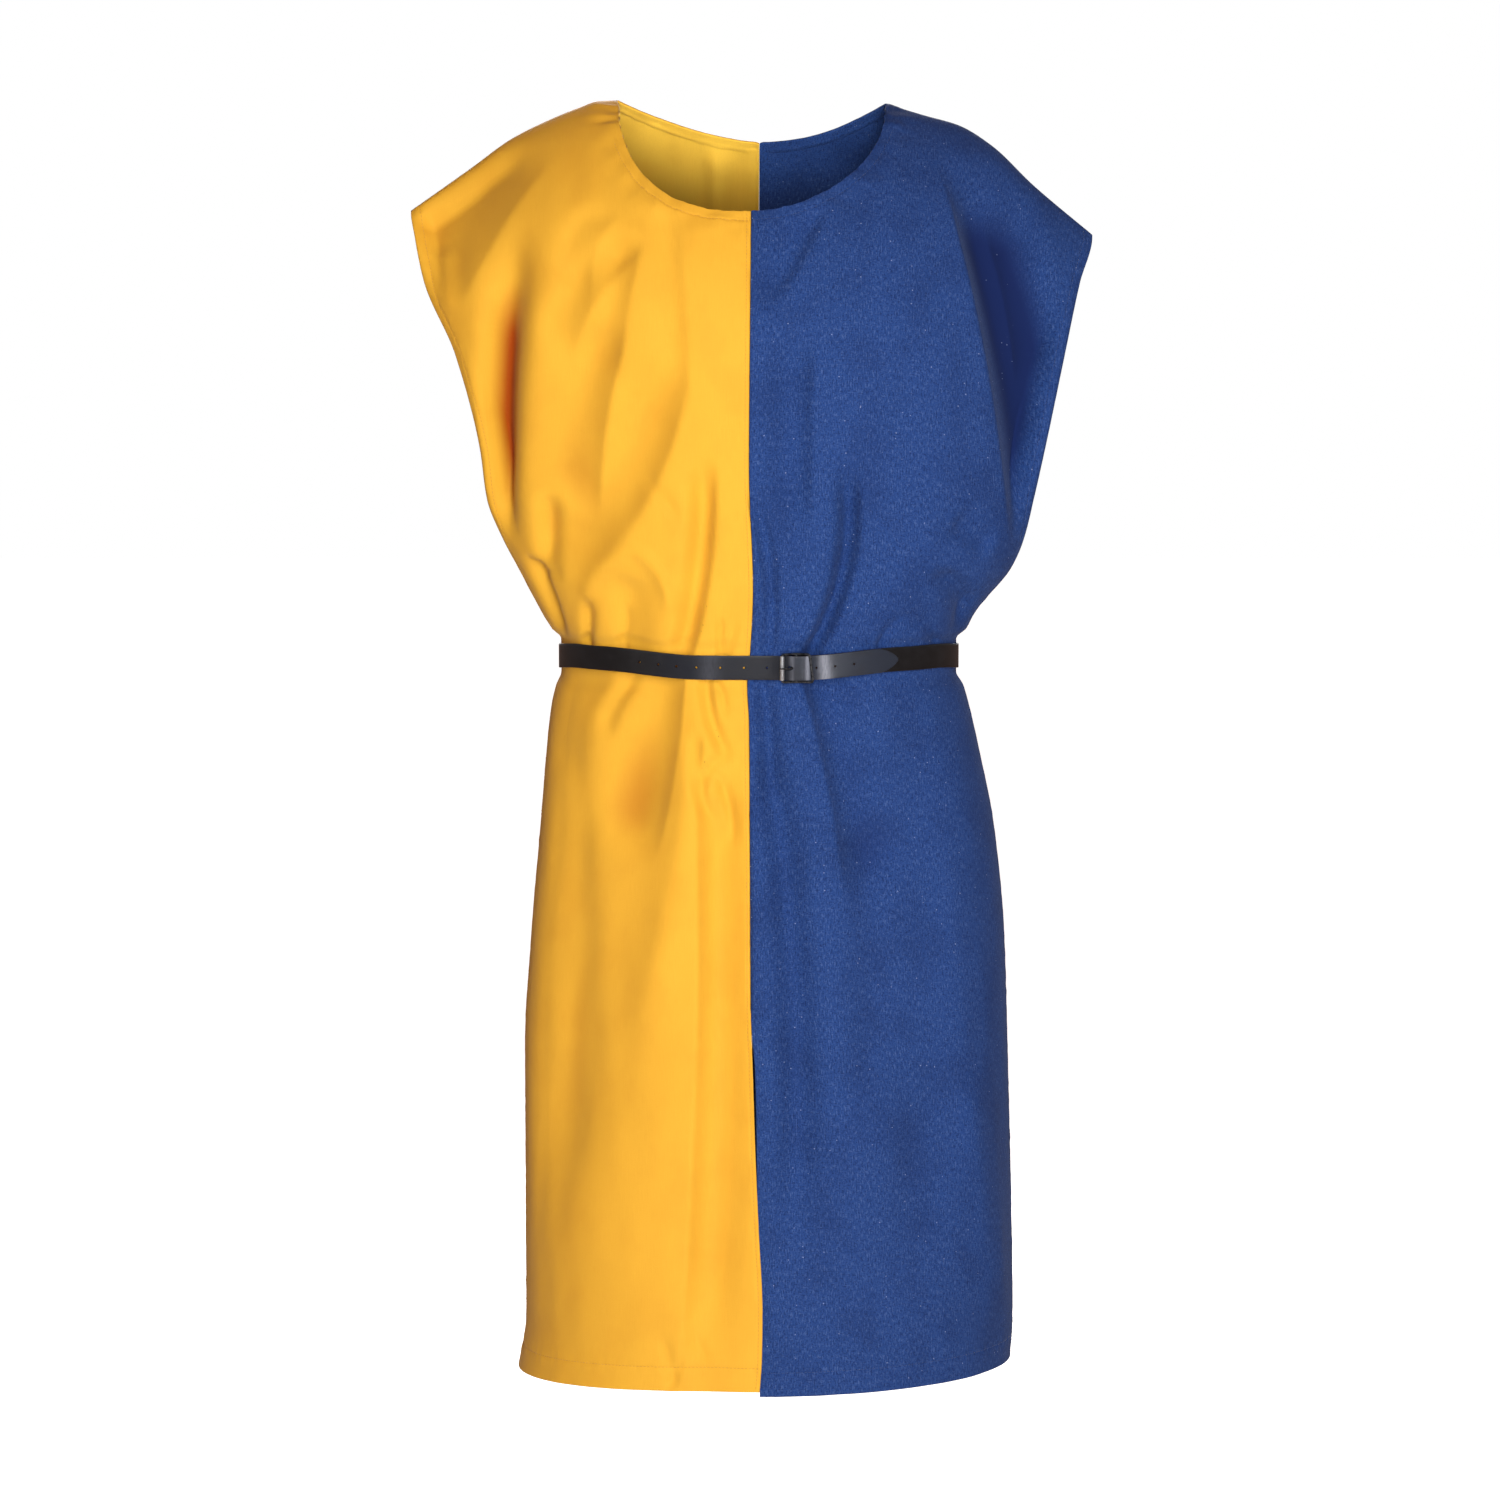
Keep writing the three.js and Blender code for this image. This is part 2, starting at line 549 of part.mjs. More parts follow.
// A round bar between two places in the buckle's frame.
function barGeometry(start, end, radius, sides = 12) {
  const run = end.clone().sub(start);
  const bar = new THREE.CylinderGeometry(radius, radius, run.length(), sides);
  const turn = new THREE.Quaternion();
  turn.setFromUnitVectors(new THREE.Vector3(0, 1, 0), run.clone().normalize());
  return bar.applyQuaternion(turn).translate(...start.clone().add(end).multiplyScalar(0.5));
}

// One side of the frame, arched from the roller bar over the centre bar to the right bar.
function frameSideGeometry(rightBar, low, high) {
  const places = [rollerBar, centreBar, rightBar];
  const line = new THREE.SplineCurve(places.map((bar) => new THREE.Vector2(bar.along, bar.rise)));
  const half = frameThickness / 2;
  const steps = 10;
  const edge = (sign) =>
    Array.from({ length: steps + 1 }, (_, index) => {
      const tangent = line.getTangentAt(index / steps);
      const point = line.getPointAt(index / steps);
      return point.add(new THREE.Vector2(-tangent.y, tangent.x).multiplyScalar(half * sign));
    });
  const endCap = (index, from) =>
    [1, 2, 3].map((step) => {
      const tangent = line.getTangentAt(index);
      const angle = Math.atan2(tangent.y, tangent.x) + from - (step * Math.PI) / 4;
      const centre = line.getPointAt(index);
      return new THREE.Vector2(centre.x + half * Math.cos(angle), centre.y + half * Math.sin(angle));
    });
  const outline = [...edge(1), ...endCap(1, Math.PI / 2), ...edge(-1).reverse()];
  outline.push(...endCap(0, -Math.PI / 2));
  const depth = high - low;
  const side = new THREE.ExtrudeGeometry(new THREE.Shape(outline), { depth, bevelEnabled: false });
  return side.translate(0, 0, low);
}

function buckleGeometry() {
  const inside = frameHeight / 2 - frameSide;
  const upper = frameSideGeometry(upperRightBar, -frameHeight / 2, -inside);
  const lower = frameSideGeometry(lowerRightBar, inside, frameHeight / 2);
  const reach = inside + frameSide / 2;
  const place = (bar, level) => new THREE.Vector3(bar.along, bar.rise, level);
  const bars = [
    [rollerBar, rollerBar],
    [centreBar, centreBar],
    [upperRightBar, lowerRightBar],
  ].map(([top, bottom]) => barGeometry(place(top, -reach), place(bottom, reach), barRadius));
  return fromSolid([upper, lower, ...bars].map(toSolid).reduce((whole, piece) => whole.add(piece)));
}

function rollerGeometry() {
  const half = frameHeight / 2 - frameSide - sewnGap;
  const ring = new THREE.Shape().absarc(0, 0, rollerRadius, 0, Math.PI * 2);
  ring.holes.push(new THREE.Path().absarc(0, 0, barRadius + sewnGap, 0, Math.PI * 2, true));
  const options = { depth: half * 2, bevelEnabled: false, curveSegments: 16 };
  return new THREE.ExtrudeGeometry(ring, options).translate(rollerBar.along, rollerBar.rise, -half);
}

function prongGeometry() {
  const ring = new THREE.Shape().absarc(0, 0, prongRing.outer, 0, Math.PI * 2);
  ring.holes.push(new THREE.Path().absarc(0, 0, prongRing.inner, 0, Math.PI * 2, true));
  const options = { depth: prongRing.width, bevelEnabled: false, curveSegments: 16 };
  const eye = new THREE.ExtrudeGeometry(ring, options);
  eye.translate(centreBar.along, centreBar.rise, -prongRing.width / 2);
  const points = prongRoute.map((row) => new THREE.Vector3(row.along, row.rise, 0));
  const section = new THREE.Shape().absarc(0, 0, prongRadius, 0, Math.PI * 2);
  const tongue = new THREE.ExtrudeGeometry(section, {
    extrudePath: new THREE.CatmullRomCurve3(points),
    steps: 12,
    curveSegments: 8,
  });
  return fromSolid(toSolid(eye).add(toSolid(tongue)));
}

addPart('front_yellow', clothPanel('yellow', 'front', 18), 'yellow');
addPart('front_blue', clothPanel('blue', 'front', 18), 'blue');
addPart('back_yellow', clothPanel('yellow', 'back', 18), 'yellow');
addPart('back_blue', clothPanel('blue', 'back', 18), 'blue');

const strap = toSolid(strapGeometry()).subtract(slotSolid(foldSlot)).subtract(slotSolid(strapSlot));
addPart('belt_strap', fromSolid(strap), 'leather');

const buckle = new THREE.Group();
buckleFrame.decompose(buckle.position, buckle.quaternion, buckle.scale);
tabard.add(buckle);
addPart('belt_buckle', buckleGeometry(), 'gunmetal', buckle);
addPart('belt_roller', rollerGeometry(), 'steel', buckle);
addPart('belt_prong', prongGeometry(), 'gunmetal', buckle);

export default tabard;
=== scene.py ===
import math

import bpy
import numpy as np
from mathutils import Matrix, Vector


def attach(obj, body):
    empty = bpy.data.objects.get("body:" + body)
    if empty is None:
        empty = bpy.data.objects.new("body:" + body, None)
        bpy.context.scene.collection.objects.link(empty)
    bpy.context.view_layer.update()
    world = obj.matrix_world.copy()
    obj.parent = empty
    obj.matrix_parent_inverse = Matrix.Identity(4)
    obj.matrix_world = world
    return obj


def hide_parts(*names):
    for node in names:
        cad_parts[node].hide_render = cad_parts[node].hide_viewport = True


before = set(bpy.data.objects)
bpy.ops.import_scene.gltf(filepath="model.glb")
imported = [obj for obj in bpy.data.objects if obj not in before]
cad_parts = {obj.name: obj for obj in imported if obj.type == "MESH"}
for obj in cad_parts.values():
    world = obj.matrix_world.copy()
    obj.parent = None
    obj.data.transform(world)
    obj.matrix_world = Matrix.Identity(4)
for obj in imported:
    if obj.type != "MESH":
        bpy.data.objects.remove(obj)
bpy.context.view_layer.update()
mm = 0.001
print("Frame loaded:", ", ".join(sorted(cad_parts)))


# ---- studio
studio = {
    "cameraPlace": (-1.7, -4000, -84.5),
    "cameraAim": (-1.7, 0, -545.5),
    "lens": 113.69,
    "sensor": 36,
    "floorLevel": -1500,
    "floorSize": 30000,
    "floorColour": "#C9C6C2",
    "skyGlow": 1.0,  # what the camera sees past the floor
    "fillGlow": 0.2,
    "fillColour": "#FFA070",  # the warm light that reaches the folds
    "mirroredGlow": 0.25,  # what metal and leather mirror
}
# Soft boxes: place, what they point at, width and height, watts.
softBoxes = [
    {"place": (150, -1700, -320), "aim": (0, 0, -470), "size": (300, 1800), "power": 43},
    {"place": (0, -4300, 500), "aim": (0, 0, -520), "size": (1000, 1000), "power": 25},
    {"place": (1500, -3370, -200), "aim": (0, 0, -550), "size": (350, 2400), "power": 16},
    {"place": (-2600, -2600, 300), "aim": (0, 0, -550), "size": (1200, 2000), "power": 6},
    {"place": (0, 2600, 600), "aim": (0, 0, -500), "size": (1600, 1800), "power": 80},
]


def linear(hexColour):
    channels = [int(hexColour[at : at + 2], 16) / 255 for at in (1, 3, 5)]
    curved = [c / 12.92 if c <= 0.04045 else ((c + 0.055) / 1.055) ** 2.4 for c in channels]
    return (*curved, 1)


def feed(tree, node, inputs):
    for name, value in inputs.items():
        if isinstance(value, bpy.types.NodeSocket):
            tree.links.new(value, node.inputs[name])
        else:
            node.inputs[name].default_value = value


def addNode(tree, kind, settings=None, inputs=None):
    node = tree.nodes.new("ShaderNode" + kind)
    for name, value in (settings or {}).items():
        setattr(node, name, value)
    feed(tree, node, inputs or {})
    return node


def newMaterial(name, settings):
    # A principled surface whose fixed values are set on its own sockets.
    material = bpy.data.materials.new(name)
    material.use_nodes = True
    tree = material.node_tree
    tree.nodes.clear()
    surface = addNode(tree, "BsdfPrincipled", inputs=settings)
    addNode(tree, "OutputMaterial", inputs={"Surface": surface.outputs[0]})
    return material, tree, surface


def pointAt(thing, place, aim):
    thing.location = Vector(place) * mm
    thing.rotation_euler = (Vector(aim) - Vector(place)).to_track_quat("-Z", "Y").to_euler()


def buildStudio():
    bpy.ops.object.camera_add()
    camera = bpy.context.object
    camera.name = "camera"
    camera.data.lens = studio["lens"]
    camera.data.sensor_width = studio["sensor"]
    pointAt(camera, studio["cameraPlace"], studio["cameraAim"])
    bpy.context.scene.camera = camera
    for number, row in enumerate(softBoxes, 1):
        bpy.ops.object.light_add(type="AREA")
        light = bpy.context.object
        light.name = f"soft_box_{number}"
        light.data.shape = "RECTANGLE"
        light.data.size, light.data.size_y = (side * mm for side in row["size"])
        light.data.energy = row["power"]
        light.visible_camera = False
        light.visible_glossy = number > 1  # the near strip would whiten the leather
        pointAt(light, row["place"], row["aim"])
    bpy.ops.mesh.primitive_plane_add(size=studio["floorSize"] * mm)
    floor = bpy.context.object
    floor.name = "floor"
    floor.location.z = studio["floorLevel"] * mm
    paint = {"Base Color": linear(studio["floorColour"]), "Roughness": 0.9}
    material, tree, surface = newMaterial("matt_studio_paint", paint)
    seen = addNode(tree, "LightPath").outputs["Is Camera Ray"]
    feed(tree, surface, {"Emission Color": (1, 1, 1, 1), "Emission Strength": seen})
    floor.data.materials.append(material)
    world = bpy.data.worlds.new("studio")
    bpy.context.scene.world = world
    world.use_nodes = True
    tree = world.node_tree
    tree.nodes.clear()
    rays = addNode(tree, "LightPath").outputs
    fill = {"Color": linear(studio["fillColour"]), "Strength": studio["fillGlow"]}
    sky = addNode(tree, "Background", inputs=fill).outputs[0]
    for ray, strength in (("Is Glossy Ray", "mirroredGlow"), ("Is Camera Ray", "skyGlow")):
        white = {"Color": (1, 1, 1, 1), "Strength": studio[strength]}
        glow = addNode(tree, "Background", inputs=white).outputs[0]
        sky = addNode(tree, "MixShader", inputs={0: rays[ray], 1: sky, 2: glow}).outputs[0]
    addNode(tree, "OutputWorld", inputs={"Surface": sky})
    bpy.context.scene.view_settings.view_transform = "Standard"
    print("Studio: camera,", len(softBoxes), "soft boxes, floor")


# ---- materials
# Colours are sRGB and lengths are mm. Yarns are drawn a little coarser than the real 0.4 mm, to show.
cottons = {
    "yellow": {
        "name": "smooth_cotton_yellow",
        "base": "#CB982D",
        "light": "#D8A738",
        "dark": "#BC8524",
        "hollow": "#8E3A05",
        "paintedInsideLight": "#FFCE4A",
        "paintedInsideShade": "#8F6E1E",
        "fleck": "#7A4A14",
        "fleckShare": 0.035,
        "fleckSize": 0.45,
        "fleckGrid": 16,
        "yarn": 0.55,
        "weave": 0.05,
        "slub": (0.9, 16),
        "slubStrength": 0.16,
        "crossSlub": 0.08,
        "roughness": 0.62,
        "sheen": 0.12,
        "sheenTint": "#FFE9A8",
        "specular": 0.28,
    },
    "blue": {
        "name": "slubbed_cotton_blue",
        "base": "#1F396D",
        "light": "#435988",
        "dark": "#101E44",
        "hollow": "#12204A",
        "paintedInsideLight": "#2A4A8A",
        "paintedInsideShade": "#14244C",
        "fleck": "#7886A9",
        "fleckShare": 0.3,
        "fleckSize": 0.55,
        "fleckGrid": 6,
        "yarn": 0.8,
        "weave": 0.12,
        "slub": (1.1, 5),
        "slubStrength": 0.9,
        "crossSlub": 0.65,
        "roughness": 0.85,
        "sheen": 0.1,
        "sheenTint": "#8FA6E0",
        "specular": 0.2,
    },
}
threads = {"yellow": "#C08A28", "blue": "#1F3666"}
leatherTones = {
    "base": "#08080A",
    "worn": "#1A1A1D",
    "handledAndSheen": "#1D232E",
    "paintedHighlight": "#80848F",
    "edge": "#2C1810",
    "roughness": 0.38,
    "grain": 0.9,
    "creaseLength": 7,
}
metals = {
    "gunmetal": {"base": "#2A2B2E", "worn": "#8A8D92", "roughness": 0.42},
    "bright_steel": {"base": "#C4C8CD", "worn": "#E6E9EC", "roughness": 0.5},
}


def maths(tree, operation, first, second=0.0, third=0.0):
    values = {0: first, 1: second, 2: third}
    return addNode(tree, "Math", {"operation": operation}, values).outputs[0]


def blended(tree, share, first, second):
    mixer = addNode(tree, "Mix", {"data_type": "RGBA"}, {0: share, 6: first, 7: second})
    return mixer.outputs[2]


def stretchedNoise(tree, place, size, detail=2.0, roughness=0.5):
    # Noise whose patches are size mm wide, tall and deep.
    scaled = {0: place, 1: tuple(1 / length for length in size)}
    vector = addNode(tree, "VectorMath", {"operation": "MULTIPLY"}, scaled).outputs[0]
    settings = {"Vector": vector, "Scale": 1.0, "Detail": detail, "Roughness": roughness}
    return addNode(tree, "TexNoise", {}, settings).outputs[0]


def between(tree, value, low, high):
    limits = {0: value, 1: low, 2: high}
    return addNode(tree, "MapRange", {"interpolation_type": "SMOOTHSTEP"}, limits).outputs[0]


def inMillimetres(tree, vector):
    scaled = {0: vector, "Scale": 1000.0}
    return addNode(tree, "VectorMath", {"operation": "SCALE"}, scaled).outputs[0]


def attribute(tree, name):
    return addNode(tree, "Attribute", {"attribute_name": name}).outputs["Fac"]


def objectPlace(tree):
    return inMillimetres(tree, addNode(tree, "TexCoord").outputs["Object"])


def bumped(tree, height, strength):
    # A height of 1 stands for a real millimetre.
    relief = {"Height": height, "Strength": strength, "Distance": 1 * mm}
    return addNode(tree, "Bump", inputs=relief).outputs[0]


def cottonCloth(row):
    # Smooth plain weave in yellow, and one with thick and thin yarns and pale specks in blue.
    settings = {"Roughness": row["roughness"], "Specular IOR Level": row["specular"]}
    settings.update({"Sheen Weight": row["sheen"], "Sheen Roughness": 0.45})
    settings["Sheen Tint"] = linear(row["sheenTint"])
    material, tree, surface = newMaterial(row["name"], settings)
    flat = addNode(tree, "UVMap", {"uv_map": "flatCut"}).outputs[0]
    place = inMillimetres(tree, flat)
    across, along = row["slub"]
    warp = stretchedNoise(tree, place, (across, along, 1), 3.0, 0.6)
    weft = stretchedNoise(tree, place, (along * 0.8, across, 1), 3.0, 0.6)
    cloud = stretchedNoise(tree, place, (40, 55, 1), 3.0)
    grain = stretchedNoise(tree, place, (row["yarn"] * 1.6, row["yarn"] * 1.6, 1), 1.0)
    inside = attribute(tree, "inside")
    # Painted light at the top of the inside, fading to painted shade lower down.
    low = maths(tree, "SUBTRACT", inside, 1)
    colour = blended(tree, low, linear(row["paintedInsideLight"]), linear(row["paintedInsideShade"]))
    colour = blended(tree, inside, linear(row["base"]), colour)
    # A noise, where it starts to show and shows fully, how strongly, and the tone it brings.
    for noise, starts, full, strength, tone in (
        (warp, 0.5, 0.24, row["slubStrength"], "dark"),
        (warp, 0.5, 0.78, row["slubStrength"], "light"),
        (weft, 0.52, 0.8, row["crossSlub"], "light"),
        (grain, 0.52, 0.25, row["slubStrength"] * 0.8, "dark"),
        (cloud, 0.42, 0.7, 0.25, "dark"),
    ):
        share = maths(tree, "MULTIPLY", between(tree, noise, starts, full), strength)
        colour = blended(tree, share, colour, linear(row[tone]))
    # Painted shade: deep in the folds the colour turns to a dark painted fold shade.
    colour = blended(tree, attribute(tree, "hollow"), colour, linear(row["hollow"]))
    grid = {0: place, "Scale": 1 / row["fleckGrid"]}
    cells = addNode(tree, "VectorMath", {"operation": "SCALE"}, grid).outputs[0]
    dots = addNode(tree, "TexVoronoi", {}, {"Vector": cells, "Scale": 1.0})
    chosen = addNode(tree, "SeparateColor", {}, {0: dots.outputs["Color"]}).outputs[0]
    chosen = maths(tree, "LESS_THAN", chosen, row["fleckShare"])
    radius = row["fleckSize"] / row["fleckGrid"]
    spot = between(tree, dots.outputs["Distance"], radius, radius * 0.5)
    colour = blended(tree, maths(tree, "MULTIPLY", chosen, spot), colour, linear(row["fleck"]))
    wave = {"Vector": place, "Scale": 0.314 / row["yarn"], "Distortion": 0.6, "Detail": 1.0}
    bands = [addNode(tree, "TexWave", {"bands_direction": way}, wave).outputs[1] for way in "XY"]
    yarns = maths(tree, "MULTIPLY", *bands)
    height = maths(tree, "MULTIPLY_ADD", yarns, row["weave"], maths(tree, "MULTIPLY", warp, 0.12))
    height = maths(tree, "MULTIPLY_ADD", weft, 0.1, height)
    feed(tree, surface, {"Base Color": colour, "Normal": bumped(tree, height, 0.6)})
    return material


def cottonThread(half):
    # Twisted sewing thread, darker in random patches about 0.4 mm across.
    settings = {"Roughness": 0.6, "Sheen Weight": 0.2, "Specular IOR Level": 0.3}
    material, tree, surface = newMaterial(f"cotton_thread_{half}", settings)
    strand = stretchedNoise(tree, objectPlace(tree), (0.4, 0.4, 0.4), 1.0)
    tone = linear(threads[half])
    dark = tuple(channel * 0.7 for channel in tone[:3]) + (1,)
    feed(tree, surface, {"Base Color": blended(tree, strand, tone, dark)})
    return material


def beltLeather(name, edge=False):
    # Smooth dyed leather: fine pores, creases along the strap, greyer from handling with a painted
    # cool sheen, and painted highlights where it was bent.
    tones = leatherTones
    settings = {"Specular IOR Level": 0.5, "Coat Weight": 0.2, "Coat Roughness": 0.22}
    material, tree, surface = newMaterial(name, settings)
    place = objectPlace(tree)
    pores = addNode(tree, "TexVoronoi", {}, {"Vector": place, "Scale": 1 / tones["grain"]})
    crease = stretchedNoise(tree, place, (1.1, 1.1, tones["creaseLength"]), 3.0, 0.65)
    cloud = stretchedNoise(tree, place, (14, 14, 9), 3.0)
    base = linear(tones["edge"] if edge else tones["base"])
    if not edge:
        # Greyer from handling, with a painted cool sheen, on the free end.
        base = blended(tree, attribute(tree, "handledAndSheen"), base, linear(tones["handledAndSheen"]))
        # Painted highlights where the strap is bent, broken up by the crease noise.
        pale = maths(tree, "MULTIPLY", attribute(tree, "paintedHighlight"), crease)
        base = blended(tree, pale, base, linear(tones["paintedHighlight"]))
    worn = maths(tree, "MULTIPLY", between(tree, crease, 0.55, 0.75), 0.35)
    worn = maths(tree, "MULTIPLY_ADD", between(tree, cloud, 0.45, 0.7), 0.3, worn)
    smooth = 0.62 if edge else tones["roughness"] - 0.1
    creases = maths(tree, "MULTIPLY", crease, 0.06)
    height = maths(tree, "MULTIPLY_ADD", pores.outputs["Distance"], 0.05, creases)
    finish = {
        "Base Color": blended(tree, worn, base, linear(tones["worn"])),
        "Roughness": maths(tree, "MULTIPLY_ADD", cloud, 0.22, smooth),
        "Normal": bumped(tree, height, 0.7),
    }
    feed(tree, surface, finish)
    return material


def platedMetal(name):
    # Plated steel with a fine brush, rubbed bright on its corners.
    row = metals[name]
    material, tree, surface = newMaterial(name, {"Metallic": 1.0})
    place = objectPlace(tree)
    brushed = stretchedNoise(tree, place, (3.5, 3.5, 0.12), 2.0)
    tarnish = stretchedNoise(tree, place, (4, 4, 4), 4.0, 0.65)
    corners = between(tree, addNode(tree, "NewGeometry").outputs["Pointiness"], 0.5, 0.56)
    wear = maths(tree, "MULTIPLY", corners, between(tree, tarnish, 0.35, 0.6))
    streaks = maths(tree, "MULTIPLY", brushed, 0.15)
    wear = maths(tree, "MULTIPLY_ADD", wear, 0.5, streaks)
    finish = {
        "Base Color": blended(tree, wear, linear(row["base"]), linear(row["worn"])),
        "Roughness": maths(tree, "MULTIPLY_ADD", tarnish, 0.24, row["roughness"] - 0.12),
        "Normal": bumped(tree, maths(tree, "MULTIPLY", brushed, 0.02), 0.5),
    }
    feed(tree, surface, finish)
    return material


# ---- the garment's form, as in the model
sewnGap = 0.3
neckHalfWidth = 112
frontNeckLevel = -90
backNeckLevel = -32
shoulderFall = 220  # below the shoulder line by this much, the section has its full depth
shoulderRound = 0.65
sectionPower = 2.3
yokeLevel = -150
bodyGridLevel = -260
neckShare = 1 / 3
seamReach = 0.39
foldFade = 25
sideFade = 16
liftReach = 45
beltLevel = -464.3
beltRise = 4.6
beltGrip = 11
slitTop = -750
upperRows = 60  # rows of points near enough to the neck and shoulder for their hems
farAway = 999.0

sections = {
    "z": [2, -90, -110, -150, -209, -287, -330, -363, -388, -426, -441, -449, -478, -489, -506, -540]
    + [-610, -700, -800, -940, -1030, -1082],
    "yellow": [286, 286, 282.5, 273.5, 247.5, 227.5, 222, 209.5, 197, 178, 169, 161.6, 161.6, 166, 170]
    + [174, 180, 188, 194, 194, 194, 202],
    "blue": [285.5, 285.5, 285.5, 274, 261, 245, 236, 228.5, 218.5, 189, 181, 173, 173, 179, 184, 192]
    + [206, 215, 218.5, 222.5, 224, 221],
    "front": [118, 126, 127, 128, 128, 126, 124, 122, 120, 117, 115, 112, 112, 114.5, 117, 119.5, 125]
    + [130, 134, 138, 141, 143],
    "back": [116, 124, 126, 128, 129, 125, 120, 117, 114, 110, 107, 104, 104, 107, 110, 114, 123, 130]
    + [134, 138, 141, 143],
    "gap": [38, 40, 41, 42, 43, 40, 35, 29, 22, 9, 4, 1.5, 1.5, 1.8, 2, 2.5, 3, 4, 5, 6.5, 8, 9],
    "round": [0.8, 0.8, 0.8, 0.8, 0.8, 0.76, 0.71, 0.66, 0.62, 0.54, 0.51] + [0.5] * 11,
}
shoulders = {
    "x": [0, 112, 128, 145, 173, 201, 236, 286],
    "yellow": [1, 2, 1.5, -4, -15.5, -29.5, -54.5, -89.5],
    "blue": [1, -0.5, -5.5, -10.5, -18.5, -35.5, -68.5, -110],
}
seams = {
    "z": [2, -90, -300, -400, -452, -478, -510, -750, -801, -870, -930, -1001, -1036, -1082],
    "back": [6.5, 6, 3, 1] + [0] * 10,
    "frontYellow": [-1, -1, -2.5, 0.8, -1.5, -4, -2.5, -1, 0.6, 2.8, 5.4, 8.6, 8.2, 5],
    "frontBlue": [-1, -1, -2.5, 0.8, -1.5, -4, -2.5, -1, 2.6, 4, 4.4, 5.4, 6, 6.8],
    "lift": [0] * 9 + [0.8, 3, 3.4, 3.2, 2],
}
hems = {
    "yellow": {"centre": -1067, "dip": 8.5, "power": 2.2},
    "blue": {"centre": -1071.5, "dip": -4.5, "power": 1.5},
}
necklinePowers = {"yellow": {"front": 2.7, "back": 1.6}, "blue": {"front": 1.8, "back": 2.1}}

# Folds, each from one place to another, down the cloth: fromX, fromZ, toX, toZ, how far its middle
# bows to +X, its width to -X and to +X, how much it spreads on the way, and its depth. A negative
# depth is a ridge. A last number says which side starts at a sharp crest, -1 or 1.
frontFolds = [
    # yellow half, above the belt
    (-246, -5, -320, -124, -5, 70, 70, 1, 20, 1),
    (-262, -120, -252, -172, 0, 12, 10, 1, -4),
    (-195, -120, -218, -374, -4, 18, 16, 1, 17),
    (-204, -165, -219, -370, -2, 12, 11, 1.1, 13),
    (-126, -88, -152, -150, -9, 10, 14, 1.2, 4.5, 1),
    (-104, -112, -166, -200, -10, 13, 15, 1.1, 7, 1),
    (-102, -115, -124, -212, -2, 11, 10, 1.3, 5, 1),
    (-124, -190, -160, -325, -4, 26, 17, 1.5, 14, 1),
    (-72, -94, -64, -250, 2, 13, 9, 1.1, 4, 1),
    (-76, -226, -164, -372, 14, 28, 20, 1.3, 15, 1),
    (-89, -306, -60, -341, 1, 4, 5, 1, 2),
    (-102, -392, -100, -458, 0, 14, 16, 1, 7),
    (-140, -416, -99, -366, 8, 5, 6, 1, -3),
    (-99, -366, -68, -416, 8, 6, 5, 1, -3),
    (-40, -300, -60, -460, 6, 10, 9, 0.9, 12, 1),
    (-26, -424, -26, -460, 0, 3.5, 3.5, 1, 4),
    (-13, -424, -23, -460, 0, 4, 4, 1, 3),
    (-170, -326, -172, -384, 0, 8, 9, 1, 9),
    (-182, -384, -160, -450, 2, 7, 6, 0.8, 11),
    (-188, -381, -158, -388, -4, 5, 4, 1, 4),
    (-136, -412, -138, -460, 0, 4, 5, 0.8, 7),
    (-104, -418, -109, -460, 0, 4, 4, 1, 3),
    # yellow half, below the belt
    (-72, -462, -108, -610, 4, 26, 14, 1.7, 12, 1),
    (-92, -510, -152, -880, 4, 34, 30, 1.4, 9),
    (-40, -500, -92, -760, 4, 12, 15, 1.3, -5),
    (-124, -464, -158, -560, -6, 20, 14, 1.6, 5),
    (-95, -468, -126, -520, -3, 6, 6, 1.4, 5),
    (-150, -560, -166, -920, 6, 18, 18, 1.2, 8),
    (-36, -462, -22, -534, -6, 7, 5, 1, 7),
    (-20, -534, -42, -562, -4, 4, 5, 1, 5, -1),
    (-46, -520, -36, -590, -6, 5, 6, 1, 5, 1),
    (-32, -552, -17, -606, 5, 3, 6, 1, 4),
    (-34, -470, -22, -502, 3, 3, 3.5, 1, 3),
    (-33, -520, -34, -575, 4, 8, 8, 1, -3.5),
    (-28, -560, -36, -1034, 6, 14, 19, 1.3, 15, -1),
    (-74, -1026, -64, -1064, 0, 4, 5, 1, 2.5),
    (-50, -1022, -38, -1042, 0, 4, 4, 1, 2.5),
    (-57, -1042, -71, -1066, 0, 4, 4, 1, 2),
    # blue half, above the belt
    (181, -72, 244, -345, 6, 16, 32, 1.5, 32, -1),
    (218, -94, 250, -222, 4, 14, 12, 1.2, 9, -1),
    (54, -79, 10, -158, 3, 13, 9, 1.1, 8, 1),
    (34, -195, 32, -345, -1, 18, 14, 1, 12, 1),
    (78, -306, 45, -460, 14, 9, 9, 0.7, 17, 1),
    (4, -325, 14, -456, 7, 7, 5, 0.9, 7, -1),
    (105, -458, 124, -425, 5, 3.5, 3.5, 1, 4),
    (122, -426, 154, -452, 8, 3.5, 3.5, 1, 4),
    (155, -388, 178, -438, 10, 10, 9, 1, 11),
    (168, -346, 198, -368, 0, 9, 10, 1, 7),
    # blue half, below the belt
    (50, -462, 100, -640, 4, 10, 20, 2, 16, -1),
    (96, -600, 104, -820, 2, 18, 24, 1.2, 9),
    (16, -540, 36, -925, 9, 12, 14, 1.3, 16),
    (8, -470, 14, -570, 3, 7, 8, 1.2, 9),
    (132, -500, 140, -960, 8, 26, 26, 1, 9),
    (187, -815, 214, -1016, -6, 14, 16, 1.1, -5),
]
